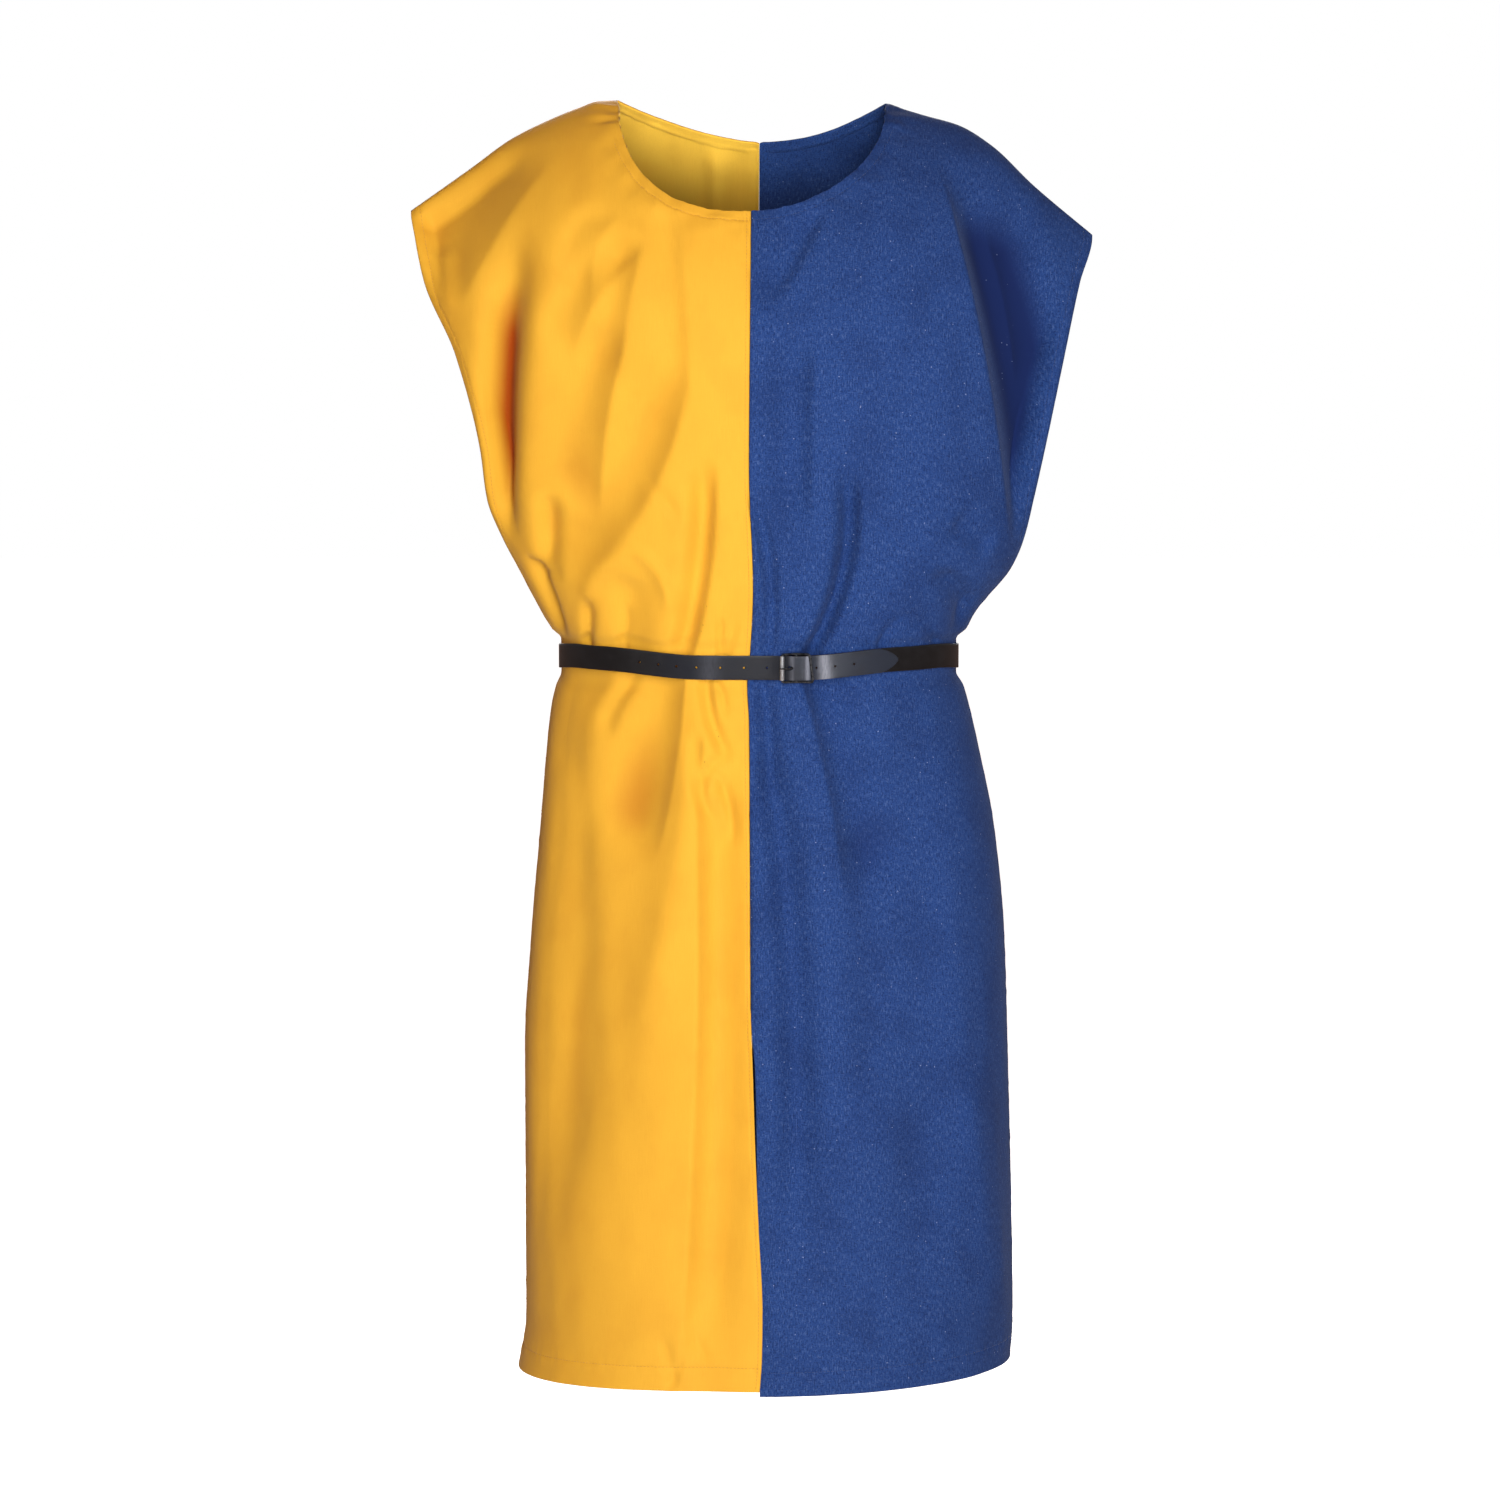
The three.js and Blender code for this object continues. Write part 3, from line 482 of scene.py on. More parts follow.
backFolds = [
    # shoulders and shoulder blades
    (-196, -80, -222, -260, -6, 15, 17, 1.1, 11.2),
    (-120, -70, -150, -300, -8, 14, 17, 1.2, 9.6),
    (-31, -20, -38, -220, 4, 8, 10, 1.3, 8),
    (70, -60, 92, -250, 5, 14, 15, 1.1, 8),
    (178, -100, 214, -320, -7, 12, 14, 1.2, 12.8),
    (-187, -130, -206, -250, -6, 4, 6, 1.2, 4),
    (185, -150, 212, -300, -6, 4, 6, 1.2, 4.8),
    # tucks gathered in above the belt
    (-84, -250, -60, -460, -6, 12, 14, 0.8, 9.6),
    (-140, -380, -128, -460, 0, 9, 9, 0.8, 8),
    (44, -290, 34, -460, 5, 11, 12, 0.8, 9.6),
    (122, -340, 96, -460, 6, 11, 12, 0.8, 9.6),
    (-104, -410, -98, -460, -1, 4, 4, 0.8, 4),
    (-158, -400, -150, -458, 2, 5, 5, 0.8, 6.4),
    (-20, -418, -24, -460, 0, 4, 4, 0.9, 3.2),
    (12, -380, 16, -460, 3, 5, 5, 0.8, 4.8),
    (70, -405, 62, -460, -2, 4, 5, 0.8, 4.8),
    (150, -395, 140, -458, 2, 5, 6, 0.8, 6.4),
    # tucks and long folds that fall from the belt
    (-52, -470, -104, -800, -10, 18, 20, 1.2, 11.2),
    (-120, -470, -150, -700, -6, 11, 14, 1.2, 8),
    (-26, -520, -34, -1040, 4, 13, 15, 1.2, 9.6),
    (38, -470, 66, -760, 6, 14, 16, 1.2, 9.6),
    (104, -470, 142, -980, 10, 17, 20, 1.2, 11.2),
    (20, -700, 34, -1050, -3, 13, 15, 1.1, 8),
    (-80, -468, -92, -540, 0, 4, 6, 1.6, 4.8),
    (-36, -468, -40, -520, 1, 4, 4, 1.4, 4),
    (8, -470, 6, -545, -2, 4, 5, 1.5, 4),
    (60, -468, 74, -560, 3, 4, 6, 1.6, 4.8),
    (86, -468, 92, -520, 0, 4, 4, 1.4, 4),
    (142, -470, 158, -570, 2, 5, 7, 1.6, 6.4),
    (-146, -470, -158, -560, 0, 5, 7, 1.6, 5.6),
]

cloth = {
    "single": 0.9,  # one layer of cloth
    "turning": 0.9,  # what a hem or a seam allowance adds
    "sideHem": 10,
    "bottomHem": 20,
    "neckHem": 8.5,
    "allowance": 10,
    "topstitch": 3.2,  # beside the yellow front's centre seam
    "stitchGroove": 0.35,
    "seamRoll": 1.2,  # how far the cloth turns in at a seam
    "seamRollWidth": 1.6,
    "edgeBulge": 0.3,
    "seamEdge": 0.35,  # how far a sewn edge, without its bulge, lies from the seam
    "neckGathers": 2,
    "paintedInsideReach": 75,  # the inside is painted light at its top edge, fading to painted shade this far down
    "openFold": 13,  # deeper than this in a fold, the colour turns more and more to a painted fold shade
    "deepFold": 16,
    "hollowPower": 1.3,
    "columns": 132,
    "rowStep": 5.2,
    "closeRows": (-436, -492),  # beside the belt
    "closeStep": 2.6,
    "lastBand": 26,  # the hem's own rows start this far above it
    "chartStep": 5,  # of the chart that lays the cloth flat
    "chartTop": 5,
    "chartRows": 220,
    "chartColumns": 160,
}


def smoothStep(value):
    t = np.clip(value, 0, 1)
    return t * t * (3 - 2 * t)


def bell(away, width):
    return np.exp(-((away / width) ** 2))


def readTable(table, key, at, column):
    # Reads a column on a smooth curve that never overshoots its rows.
    down = -1 if table[key][-1] < table[key][0] else 1
    keys, values = np.array(table[key], float) * down, np.array(table[column], float)
    at = np.asarray(at, float) * down
    steps = np.diff(keys)
    slopes = np.diff(values) / steps
    before, after = slopes[:-1], slopes[1:]
    turning = before * after <= 0
    safe = np.where(turning, 1, before + after)
    inner = np.where(turning, 0, 2 * before * after / safe)
    tangents = np.concatenate([[slopes[0]], inner, [slopes[-1]]])
    row = np.clip(np.searchsorted(keys, at, side="right") - 1, 0, len(keys) - 2)
    t = np.clip((at - keys[row]) / steps[row], 0, 1)
    curve = values[row] * (1 + 2 * t) * (1 - t) ** 2 + values[row + 1] * t * t * (3 - 2 * t)
    leave, arrive = tangents[row] * steps[row], tangents[row + 1] * steps[row]
    return curve + leave * t * (1 - t) ** 2 + arrive * t * t * (t - 1)


def bodyAt(level, column):
    return readTable(sections, "z", level, column)


def foldDepth(folds, x, z):
    depth = np.zeros_like(x)
    free = smoothStep((np.abs(z - beltLevel) - beltGrip) / foldFade)
    for fromX, fromZ, toX, toZ, bow, left, right, spread, deep, *crest in folds:
        runX, runZ = toX - fromX, toZ - fromZ
        run = math.hypot(runX, runZ)
        along = ((x - fromX) * runX + (z - fromZ) * runZ) / run**2
        across = ((z - fromZ) * runX - (x - fromX) * runZ) / run
        aside = across - bow * 4 * along * (1 - along)
        width = np.where(aside < 0, left, right) * (1 + (spread - 1) * np.clip(along, 0, 1))
        ends = smoothStep((along + 0.12) / 0.3) * smoothStep((1.12 - along) / 0.3)
        share = bell(aside, width)
        if crest:
            bowl = np.maximum(0, 1 - (aside / width / 1.3) ** 2)
            share = np.where(aside * crest[0] > 0, bowl, share)
        depth += deep * ends * share * (1 if deep > 0 else free)
    return depth


def unevenness(across, along, size, seed):
    # Gentle waves between -1 and 1, each about size wide and long.
    dice = np.random.RandomState(seed)
    total = np.zeros_like(across)
    for _ in range(7):
        angle, phase = dice.uniform(0, 2 * math.pi, 2)
        pace = dice.uniform(0.6, 1.5) * 2 * math.pi
        place = across * math.cos(angle) / size[0] + along * math.sin(angle) / size[1]
        total += np.sin(pace * place + phase)
    return total / 4


def topLevel(half, face, x):
    reach = np.abs(x)
    neckPoint = float(readTable(shoulders, "x", neckHalfWidth, half))
    inside = np.clip(reach / neckHalfWidth, 0, 1)
    power = necklinePowers[half][face]
    if face == "front":
        neckline = neckPoint + (frontNeckLevel - neckPoint) * np.sqrt(1 - inside**power)
    else:
        neckline = neckPoint + (backNeckLevel - neckPoint) * (1 - inside**power)
    return np.where(reach >= neckHalfWidth, readTable(shoulders, "x", reach, half), neckline)


def clothSurface(half, face, share, level):
    outward = -1 if half == "yellow" else 1
    forward = -1 if face == "front" else 1
    width = bodyAt(level, half)
    seam = "back" if face == "back" else "front" + half.capitalize()
    seamX = readTable(seams, "z", level, seam) + outward * sewnGap / 2
    x = outward * width * share + seamX * smoothStep(1 - share / seamReach)
    below = np.maximum(0, readTable(shoulders, "x", np.abs(x), half) - level)
    fall = (1 - np.maximum(0, 1 - below / shoulderFall) ** 2) ** shoulderRound
    gap = bodyAt(level, "gap")
    depth = bodyAt(level, face)
    power = bodyAt(level, "round")
    section = gap + (depth - gap) * np.maximum(0, 1 - share**sectionPower) ** power
    lift = 0
    if face == "front" and half == "yellow":
        near = 1 - smoothStep(np.abs(x - seamX) / liftReach)
        lift = readTable(seams, "z", level, "lift") * near
    y = forward * (sewnGap / 2 + fall * section + lift)
    return np.stack([x, y, level + 0 * x], -1)


def columnPlaces():
    # Close together at the centre seam and at the side hem, even between.
    near = [0, 0.4, 0.9, 1.5, 2.2, 2.8, 3.2, 3.7, 4.4, 5.5, 7.5]
    side = [14, 12, 10.8, 9.9, 9, 8.2, 6.5, 4.5, 2.6, 1.3, 0.5, 0]
    halfGirth = 290
    start, end = near[-1] / halfGirth, 1 - side[0] / halfGirth
    middle = np.linspace(start, end, cloth["columns"] - len(near) - len(side) + 2)[1:-1]
    return np.concatenate([np.array(near) / halfGirth, middle, 1 - np.array(side) / halfGirth])


def rowLevels(top, hem):
    # From each column's top edge down to its hem, close together at the neckline, belt and hem.
    close = np.arange(0, 0.155, 0.0062)
    yoke = np.concatenate([close, np.linspace(close[-1], 1, 27)[1:-1]])[:, None]
    levels = [top + (yokeLevel - top) * yoke]
    above, below = cloth["closeRows"]
    bands = [(yokeLevel, above, cloth["rowStep"]), (above, below, cloth["closeStep"])]
    for start, end, step in bands:
        levels.append(np.arange(start, end + 0.1, -step)[:, None] + 0 * top)
    skirt = hems["yellow"]["centre"] + cloth["lastBand"] - below
    share = np.linspace(0, 1, int(-skirt / cloth["rowStep"]))[:, None]
    levels.append(below + (hem + cloth["lastBand"] - below) * share)
    hemPlaces = np.array([24, 22, 20.9, 20, 19.1, 18, 15.5, 12.5, 9.5, 6.5, 4, 2.2, 1, 0.4, 0])
    levels.append(hem + hemPlaces[:, None])
    return np.concatenate(levels)


def unit(vectors):
    return vectors / np.maximum(np.linalg.norm(vectors, axis=-1, keepdims=True), 1e-9)


def gridNormals(points, sign):
    down, across = np.gradient(points, axis=(0, 1))
    normals = np.cross(across, down) * sign
    normals[:, 0, 0] = 0
    onShoulder = np.abs(points[0, :, 1]) < sewnGap * 2
    normals[0, onShoulder] = (0, 0, 1)
    return unit(normals)


def lengthAlong(points, axis=0):
    # How far each point is from the first, along its line, row or column.
    steps = np.linalg.norm(np.diff(points, axis=axis), axis=-1)
    pad = [(0, 0)] * steps.ndim
    pad[axis] = (1, 0)
    return np.pad(np.cumsum(steps, axis=axis), pad)


def flatCut(half, face, share, level):
    # Where each point lies on the flat piece: across from the centre seam, and up from the hem.
    rows, columns, step = cloth["chartRows"], cloth["chartColumns"], cloth["chartStep"]
    shares = np.linspace(0, 1, columns + 1)[None, :]
    levels = np.linspace(cloth["chartTop"], cloth["chartTop"] - rows * step, rows + 1)[:, None]
    form = clothSurface(half, face, shares + 0 * levels, levels + 0 * shares)
    wide, tall = lengthAlong(form[..., :2], 1), lengthAlong(form[..., 1:], 0)
    column = np.clip(share * columns, 0, columns - 0.001)
    row = np.clip((cloth["chartTop"] - level) / step, 0, rows - 0.001)
    c, r = column.astype(int), row.astype(int)
    fc, fr = column - c, row - r

    def read(table):
        upper = table[r, c] * (1 - fc) + table[r, c + 1] * fc
        lower = table[r + 1, c] * (1 - fc) + table[r + 1, c + 1] * fc
        return upper * (1 - fr) + lower * fr

    return read(wide), tall.max() - read(tall)


def makeMesh(name, points, faces, material, flat=None, shades=None):
    mesh = bpy.data.meshes.new(name)
    mesh.from_pydata((np.asarray(points) * mm).tolist(), [], [tuple(face) for face in faces])
    mesh.polygons.foreach_set("use_smooth", np.ones(len(mesh.polygons), bool))
    if flat is not None:
        layer = mesh.uv_layers.new(name="flatCut")
        corners = np.zeros(len(mesh.loops), int)
        mesh.loops.foreach_get("vertex_index", corners)
        layer.uv.foreach_set("vector", (np.asarray(flat) * mm)[corners].ravel())
        for shade, values in shades.items():
            mesh.attributes.new(shade, "FLOAT", "POINT").data.foreach_set("value", values)
    mesh.materials.append(material)
    piece = bpy.data.objects.new(name, mesh)
    bpy.context.scene.collection.objects.link(piece)
    return piece


def rimOf(grid):
    # What lies round the edge of a grid, in order.
    return np.concatenate([grid[:, 0], grid[-1, 1:], grid[-2::-1, -1], grid[0, -2:0:-1]])


def closedWall(panel):
    # Joins the outside and the inside of a sheet round a softly rounded edge.
    outer, inner, flat = panel["outer"], panel["inner"], panel["flat"].reshape(-1, 2)
    rows, columns = outer.shape[:2]
    index = np.arange(rows * columns).reshape(rows, columns)
    loop = rimOf(index)
    inward = np.concatenate([index[:, 1], index[-2, 1:], index[-2::-1, -2], index[1, -2:0:-1]])
    flatOuter, flatInner = outer.reshape(-1, 3), inner.reshape(-1, 3)
    beyond = unit(flatOuter[loop] - flatOuter[inward])
    rim = (flatOuter[loop] + flatInner[loop]) / 2 + beyond * cloth["edgeBulge"]
    corners = [index[:-1, :-1], index[1:, :-1], index[1:, 1:], index[:-1, 1:]]
    face = np.stack(corners, -1).reshape(-1, 4)
    back = face[:, ::-1] + rows * columns
    middle = 2 * rows * columns + np.arange(len(loop))
    ahead = np.roll(np.arange(len(loop)), -1)
    firstStrip = np.stack([loop[ahead], loop, middle, middle[ahead]], -1)
    underside = loop + rows * columns
    secondStrip = np.stack([middle[ahead], middle, underside, underside[ahead]], -1)
    points = np.concatenate([flatOuter, flatInner, rim])
    faces = np.concatenate([face, back, firstStrip, secondStrip])
    a, b, c = (points[faces[:, at]] for at in range(3))
    if np.einsum("ij,ij->i", a, np.cross(b, c)).sum() < 0:
        faces = faces[:, ::-1]
    hollow, low = panel["hollow"].ravel(), panel["low"].ravel()
    shades = {
        "hollow": np.concatenate([hollow, 0 * hollow, hollow[loop]]),
        "inside": np.concatenate([0 * low, 1 + low, 0 * low[loop]]),
    }
    return points, faces, np.concatenate([flat, flat, flat[loop]]), shades


def clothPanel(half, face):
    # The panel's grid: its outside, its normals and how far each point is from each edge.
    outward = -1 if half == "yellow" else 1
    forward = -1 if face == "front" else 1
    places = columnPlaces()
    tip = float(bodyAt(0, half))
    neck = neckHalfWidth / tip
    topShare = np.where(
        places <= neckShare,
        neck * np.sin(places / neckShare * math.pi / 2),
        neck + (1 - neck) * (places - neckShare) / (1 - neckShare),
    )
    bodyShare = np.sin(places * math.pi / 2)
    top = topLevel(half, face, topShare * tip)
    hem = hems[half]["centre"] - hems[half]["dip"] * bodyShare ** hems[half]["power"]
    level = rowLevels(top, hem)
    settled = smoothStep((top - level) / -bodyGridLevel)
    share = topShare + (bodyShare - topShare) * settled
    smooth = clothSurface(half, face, share, level)
    sign = 1 if (half == "yellow") == (face == "front") else -1
    folds = frontFolds if face == "front" else backFolds
    edge = np.minimum(readTable(shoulders, "x", np.abs(smooth[..., 0]), half), top)
    fade = smoothStep((edge - level) / foldFade)
    fade *= smoothStep((bodyAt(level, half) - np.abs(smooth[..., 0])) / sideFade)
    depth = foldDepth(folds, smooth[..., 0], level) * fade
    flatX, flatZ = flatCut(half, face, share, level)
    awayFromBelt = smoothStep((np.abs(level - beltLevel) - beltGrip) / 40)
    side = flatX * outward + (1000 if face == "back" else 0)
    waves = 0.9 * unevenness(side, flatZ, (150, 260), 11)
    waves += 0.35 * unevenness(side, flatZ, (40, 90), 12)
    inwards = unit(gridNormals(smooth, sign) * (0.6, 1.3, 1))
    points = smooth - inwards * (depth - waves * fade * awayFromBelt)[..., None]

    fromCentre, fromTop = lengthAlong(points, 1), lengthAlong(points, 0)
    fromSide = fromCentre[:, -1:] - fromCentre
    fromHem = fromTop[-1:] - fromTop
    onNeck = topShare * tip <= neckHalfWidth + 0.01
    apart = {}
    for name, chosen in {"neck": onNeck, "shoulder": ~onNeck}.items():
        apart[name] = np.full(level.shape, farAway)
        gaps = np.linalg.norm(points[:upperRows, :, None] - points[0, chosen], axis=-1)
        apart[name][:upperRows] = gaps.min(-1)

    sewn = level > slitTop if face == "front" else np.full(level.shape, True)
    roll = bell(fromCentre, cloth["seamRollWidth"]) * sewn
    roll = np.maximum(roll, bell(apart["shoulder"], cloth["seamRollWidth"]))
    lines = [(fromSide, cloth["sideHem"] - 1), (fromHem, cloth["bottomHem"])]
    lines.append((apart["neck"], cloth["neckHem"]))
    if half == "yellow" and face == "front":
        lines.append((fromCentre, cloth["topstitch"]))
    elif face == "front":
        lines.append((np.where(sewn, farAway, fromCentre), cloth["sideHem"] - 1))
    groove = sum(bell(away - line, 0.9) for away, line in lines)
    pucker = sum(bell(away - line, 6) for away, line in lines)
    detail = -cloth["seamRoll"] * roll - cloth["stitchGroove"] * np.minimum(groove, 1)
    detail += 0.4 * pucker * unevenness(side, flatZ, (11, 13), 13)
    turn = np.arctan2(points[..., 0], -points[..., 2]) * neckHalfWidth
    gathers = bell(apart["neck"] - cloth["neckHem"], 16)
    gathers *= smoothStep(apart["shoulder"] / 14) * (cloth["neckGathers"] if face == "front" else 0.3)
    detail += gathers * unevenness(turn, apart["neck"], (12, 50), 15)
    seamPull = bell(fromCentre, 12) * sewn
    detail += 0.35 * seamPull * unevenness(side * 0, flatZ, (60, 26), 14)
    detail *= np.clip(apart["shoulder"] / 2, 0.35, 1)

    normals = gridNormals(points, sign)
    outer = points + normals * detail[..., None]
    outer[0, ~onNeck, 1] = forward * cloth["seamEdge"]
    outer[:, 0, 0] += np.where(sewn[:, 0], outward * (cloth["seamEdge"] - sewnGap / 2), 0)
    normals = gridNormals(outer, sign)
    hemmed = [
        (fromSide, cloth["sideHem"]),
        (fromHem, cloth["bottomHem"] + 1),
        (apart["neck"] - 1.5, cloth["neckHem"] + 1),
        (fromCentre, cloth["allowance"]),
        (apart["shoulder"], cloth["allowance"]),
    ]
    doubled = np.max([1 - smoothStep((away - width) / 0.9) for away, width in hemmed], axis=0)
    inner = outer - normals * (cloth["single"] + cloth["turning"] * doubled)[..., None]
    # Painted shade: how much of the painted fold colour a point takes, by its fold depth.
    hollow = np.clip((depth - cloth["openFold"]) / cloth["deepFold"], 0, 1)
    return {
        "outer": outer,
        "inner": inner,
        "normals": normals,
        "flat": np.stack([side, flatZ], -1),
        "hollow": hollow ** cloth["hollowPower"],
        # how far below the top edge, for the painted light and shade on the inside
        "low": smoothStep((top - level) / cloth["paintedInsideReach"]),
        "fromCentre": fromCentre,
        "fromSide": fromSide,
        "fromHem": fromHem,
        "fromNeck": apart["neck"],
    }


def traced(panel, away, distance, axis):
    # The line on the outside of a panel that stays a distance from one of its edges.
    # Along axis 1 it crosses every row once, and along axis 0 every column once.
    outer, normals = panel["outer"], panel["normals"]
    if axis == 0:
        outer, normals, away = outer.swapaxes(0, 1), normals.swapaxes(0, 1), away.T
    beyond = away >= distance
    crossing = beyond[:, 1:] != beyond[:, :-1]
    rows = np.flatnonzero(crossing.any(1))
    at = crossing[rows].argmax(1)
    near, far = away[rows, at], away[rows, at + 1]
    share = ((distance - near) / (far - near))[:, None]
    line = outer[rows, at] * (1 - share) + outer[rows, at + 1] * share
    facing = normals[rows, at] * (1 - share) + normals[rows, at + 1] * share
    return line, unit(facing)


stitch = {"pitch": 3.2, "length": 2.5, "width": 0.55, "height": 0.35}


def stitchForm():
    # One stitch: a drawn-out bead that lies along X and stands up along Z.
    bpy.ops.object.select_all(action="DESELECT")
    bpy.ops.mesh.primitive_uv_sphere_add(segments=6, ring_count=4, radius=0.5)
    bead = bpy.context.object
    points = np.array([corner.co[:] for corner in bead.data.vertices])
    faces = [tuple(face.vertices) for face in bead.data.polygons]
    bpy.data.objects.remove(bead)
    points = points[:, [2, 0, 1]] * (stitch["length"], stitch["width"], stitch["height"] * 2)
    return points, faces


def onLine(places, run, line):
    # Points, or other rows of numbers, at places along a line.
    return np.stack([np.interp(places, run, column) for column in line.T], -1)


def sewLines(name, lines, material, form):
    # Copies the stitch along each line, end to end, half sunk in the cloth.
    bead, beadFaces = form
    points, faces = [], []
    for line, facing in lines:
        run = lengthAlong(line)
        places = np.arange(stitch["pitch"], run[-1] - stitch["pitch"] / 2, stitch["pitch"])
        if len(places) < 2:
            continue
        centres = onLine(places, run, line)
        along = unit(onLine(places + 0.8, run, line) - centres)
        up = unit(onLine(places, run, facing))
        up = unit(up - along * (up * along).sum(-1, keepdims=True))
        side = np.cross(up, along)
        for centre, x, y, z in zip(centres, along, side, up):
            first = len(points) * len(bead)
            points.append(centre + bead[:, :1] * x + bead[:, 1:2] * y + bead[:, 2:] * z)
            faces.extend(tuple(first + corner for corner in face) for face in beadFaces)
    return makeMesh(name, np.concatenate(points), faces, material)


# ---- the belt
belt = {
    "thickness": 1.8,
    "width": 20,
    "buckleX": 36,
    "wrapRadius": 2.3,
    "foldEnd": 3,
    "foldRise": 5.8,
    "lyingRise": 1.2,
    "riseFrom": 45,  # it climbs between here and riseFrom + riseOver from the middle
    "riseOver": 75,
    "riseDepth": 60,  # and fades to level between this far in front of the sides and them
    "edgeRound": 0.35,
    "tipLength": 15.6,
    "handledSheenLength": 225,  # the free end has been gripped and bent, and is greyer, with a painted cool sheen on it
    "grippedSheenLength": 98,
    # Painted highlights where the leather is bent: place from the centre bar, width and how much.
    "bends": [(-75, 9, 0.2), (-6, 2, 0.6), (6.5, 2.2, 1.5), (22, 5, 1.4)],
    "holeRadius": 0.9,
    "holeX": [-93, -77.4, -62.5, -46, -26.3, -6.6, 12.3, 52.7, 68.3, 83.9],
    "prongSlot": (-8.2, -2.4),
    "slotRadius": 1.7,
    "foldSlotRadius": 2.0,
    "foldSlotStretch": 2.6,
}
buckle = {
    "wire": 1.15,
    "height": 25,
    "side": 2.2,
    "corner": 2.6,
    "barRise": 3.5,
    "barRadius": 1.1,
    "barBore": 1.4,
    "rollerAlong": -12,
    "rollerRise": 6.9,
    "rightTop": 10.8,
    "rightFoot": 13.6,
    "rollerRadius": 1.9,
    "rollerBore": 1.4,
    "rollerLength": 20,
    "tubeRound": 0.18,
    "tubeSeam": 0.25,
}
# How high the frame's middle stands off the cloth, along the belt.
buckleArch = {"along": [-12, 0, 12.2], "rise": [6.9, 3.5, 8.1]}
# The free end, from under the roller to its tip: how high its middle is and the share of its width.
freeEnd = {
    "along": [-26, -21, -16, -12, -8, -4, 0, 4, 8, 12, 18, 24, 30, 40, 70, 76, 81, 85, 87.6],
    "rise": [1.2, 1.5, 2.3, 3.5, 4.9, 6.5, 7.9, 7.9, 6.9, 5.6, 4.1, 3.5] + [3.3] * 7,
    "width": [1] * 15 + [0.86, 0.63, 0.36, 0.12],
}
prong = {
    "along": [-0.9, -4.5, -8.5, -12.2, -14.6],
    "rise": [5.0, 6.6, 8.8, 10.05, 9.6],
    "radius": [1, 0.95, 0.9, 0.85, 0.6],
    "wire": 0.95,
    "eyeWidth": 3,
    "eyeRadius": 2.4,
}


def waistLine():
    # The outside of the cloth under the belt, once round from the buckle to the wearer's left.
    start = math.asin(belt["buckleX"] / float(bodyAt(beltLevel, "blue")))
    line = []
    for turn in start + np.linspace(0, 2 * math.pi, 721):
        right, ahead = math.sin(turn), math.cos(turn)
        half = "yellow" if right < 0 else "blue"
        face = "front" if ahead > 0 else "back"
        place = clothSurface(half, face, abs(right), np.float64(beltLevel))
        line.append((right * float(bodyAt(beltLevel, half)), place[1]))
    line = np.array(line)
    return line, lengthAlong(line)


def beltPlace(waist, along, rise):
    line, run = waist
    along = np.mod(along, run[-1])
    x, y = onLine(along, run, line).T
    before, after = (onLine(np.mod(along + step, run[-1]), run, line) for step in (-2, 2))
    tangent = unit(after - before)
    x, y = x + tangent[..., 1] * rise, y - tangent[..., 0] * rise
    hump = smoothStep((np.abs(x) - belt["riseFrom"]) / belt["riseOver"])
    hump *= smoothStep(-y / belt["riseDepth"])
    return np.stack([x, y, beltLevel + beltRise * hump], -1)


def strapPath(waist):
    # From the fold round the centre bar, once round the waist and on to the tip.
    loop = waist[1][-1]
    alongs, rises = [belt["foldEnd"], 1.5], [belt["foldRise"]] * 2
    for angle in np.linspace(0, math.pi, 19):
        alongs.append(-belt["wrapRadius"] * math.sin(angle))
        rises.append(buckle["barRise"] + belt["wrapRadius"] * math.cos(angle))
    first, last = freeEnd["along"][0], freeEnd["along"][-1]
    lying, ending = np.arange(8, loop + first, 2.0), np.arange(first, last + 0.01, 0.4)
    alongs = np.concatenate([alongs, lying, ending + loop])
    lyingRises = np.full(len(lying), belt["lyingRise"])
    rises = np.concatenate([rises, lyingRises, readTable(freeEnd, "along", ending, "rise")])
    path = beltPlace(waist, alongs, rises)
    return path, lengthAlong(path), alongs


def only(thing):
    bpy.ops.object.select_all(action="DESELECT")
    thing.select_set(True)
    bpy.context.view_layer.objects.active = thing
    return thing


def joined(pieces, name):
    only(pieces[0])
    for piece in pieces:
        piece.select_set(True)
    bpy.ops.object.join()
    pieces[0].name = name
    return pieces[0]


def useModifier(thing, kind, **settings):
    only(thing)
    modifier = thing.modifiers.new(kind, kind)
    for name, value in settings.items():
        setattr(modifier, name, value)
    bpy.ops.object.modifier_apply(modifier=modifier.name)


def cutAway(thing, cutter):
    useModifier(thing, "BOOLEAN", operation="DIFFERENCE", object=cutter, solver="EXACT")
    bpy.data.objects.remove(cutter)


def roundEdges(thing, width):
    settings = {"segments": 3, "limit_method": "ANGLE", "angle_limit": 1.0}
    useModifier(thing, "BEVEL", width=width * mm, **settings)


def polyCurve(name, points, shares):
    # Straight stretches from point to point, each point with its share of the curve's radius.
    curve = bpy.data.curves.new(name, "CURVE")
    curve.dimensions = "3D"
    spline = curve.splines.new("POLY")
    spline.points.add(len(points) - 1)
    for point, place, share in zip(spline.points, points, shares):
        point.co = (*(np.array(place) * mm), 1)
        point.radius = share
    thing = bpy.data.objects.new(name, curve)
    bpy.context.scene.collection.objects.link(thing)
    return thing


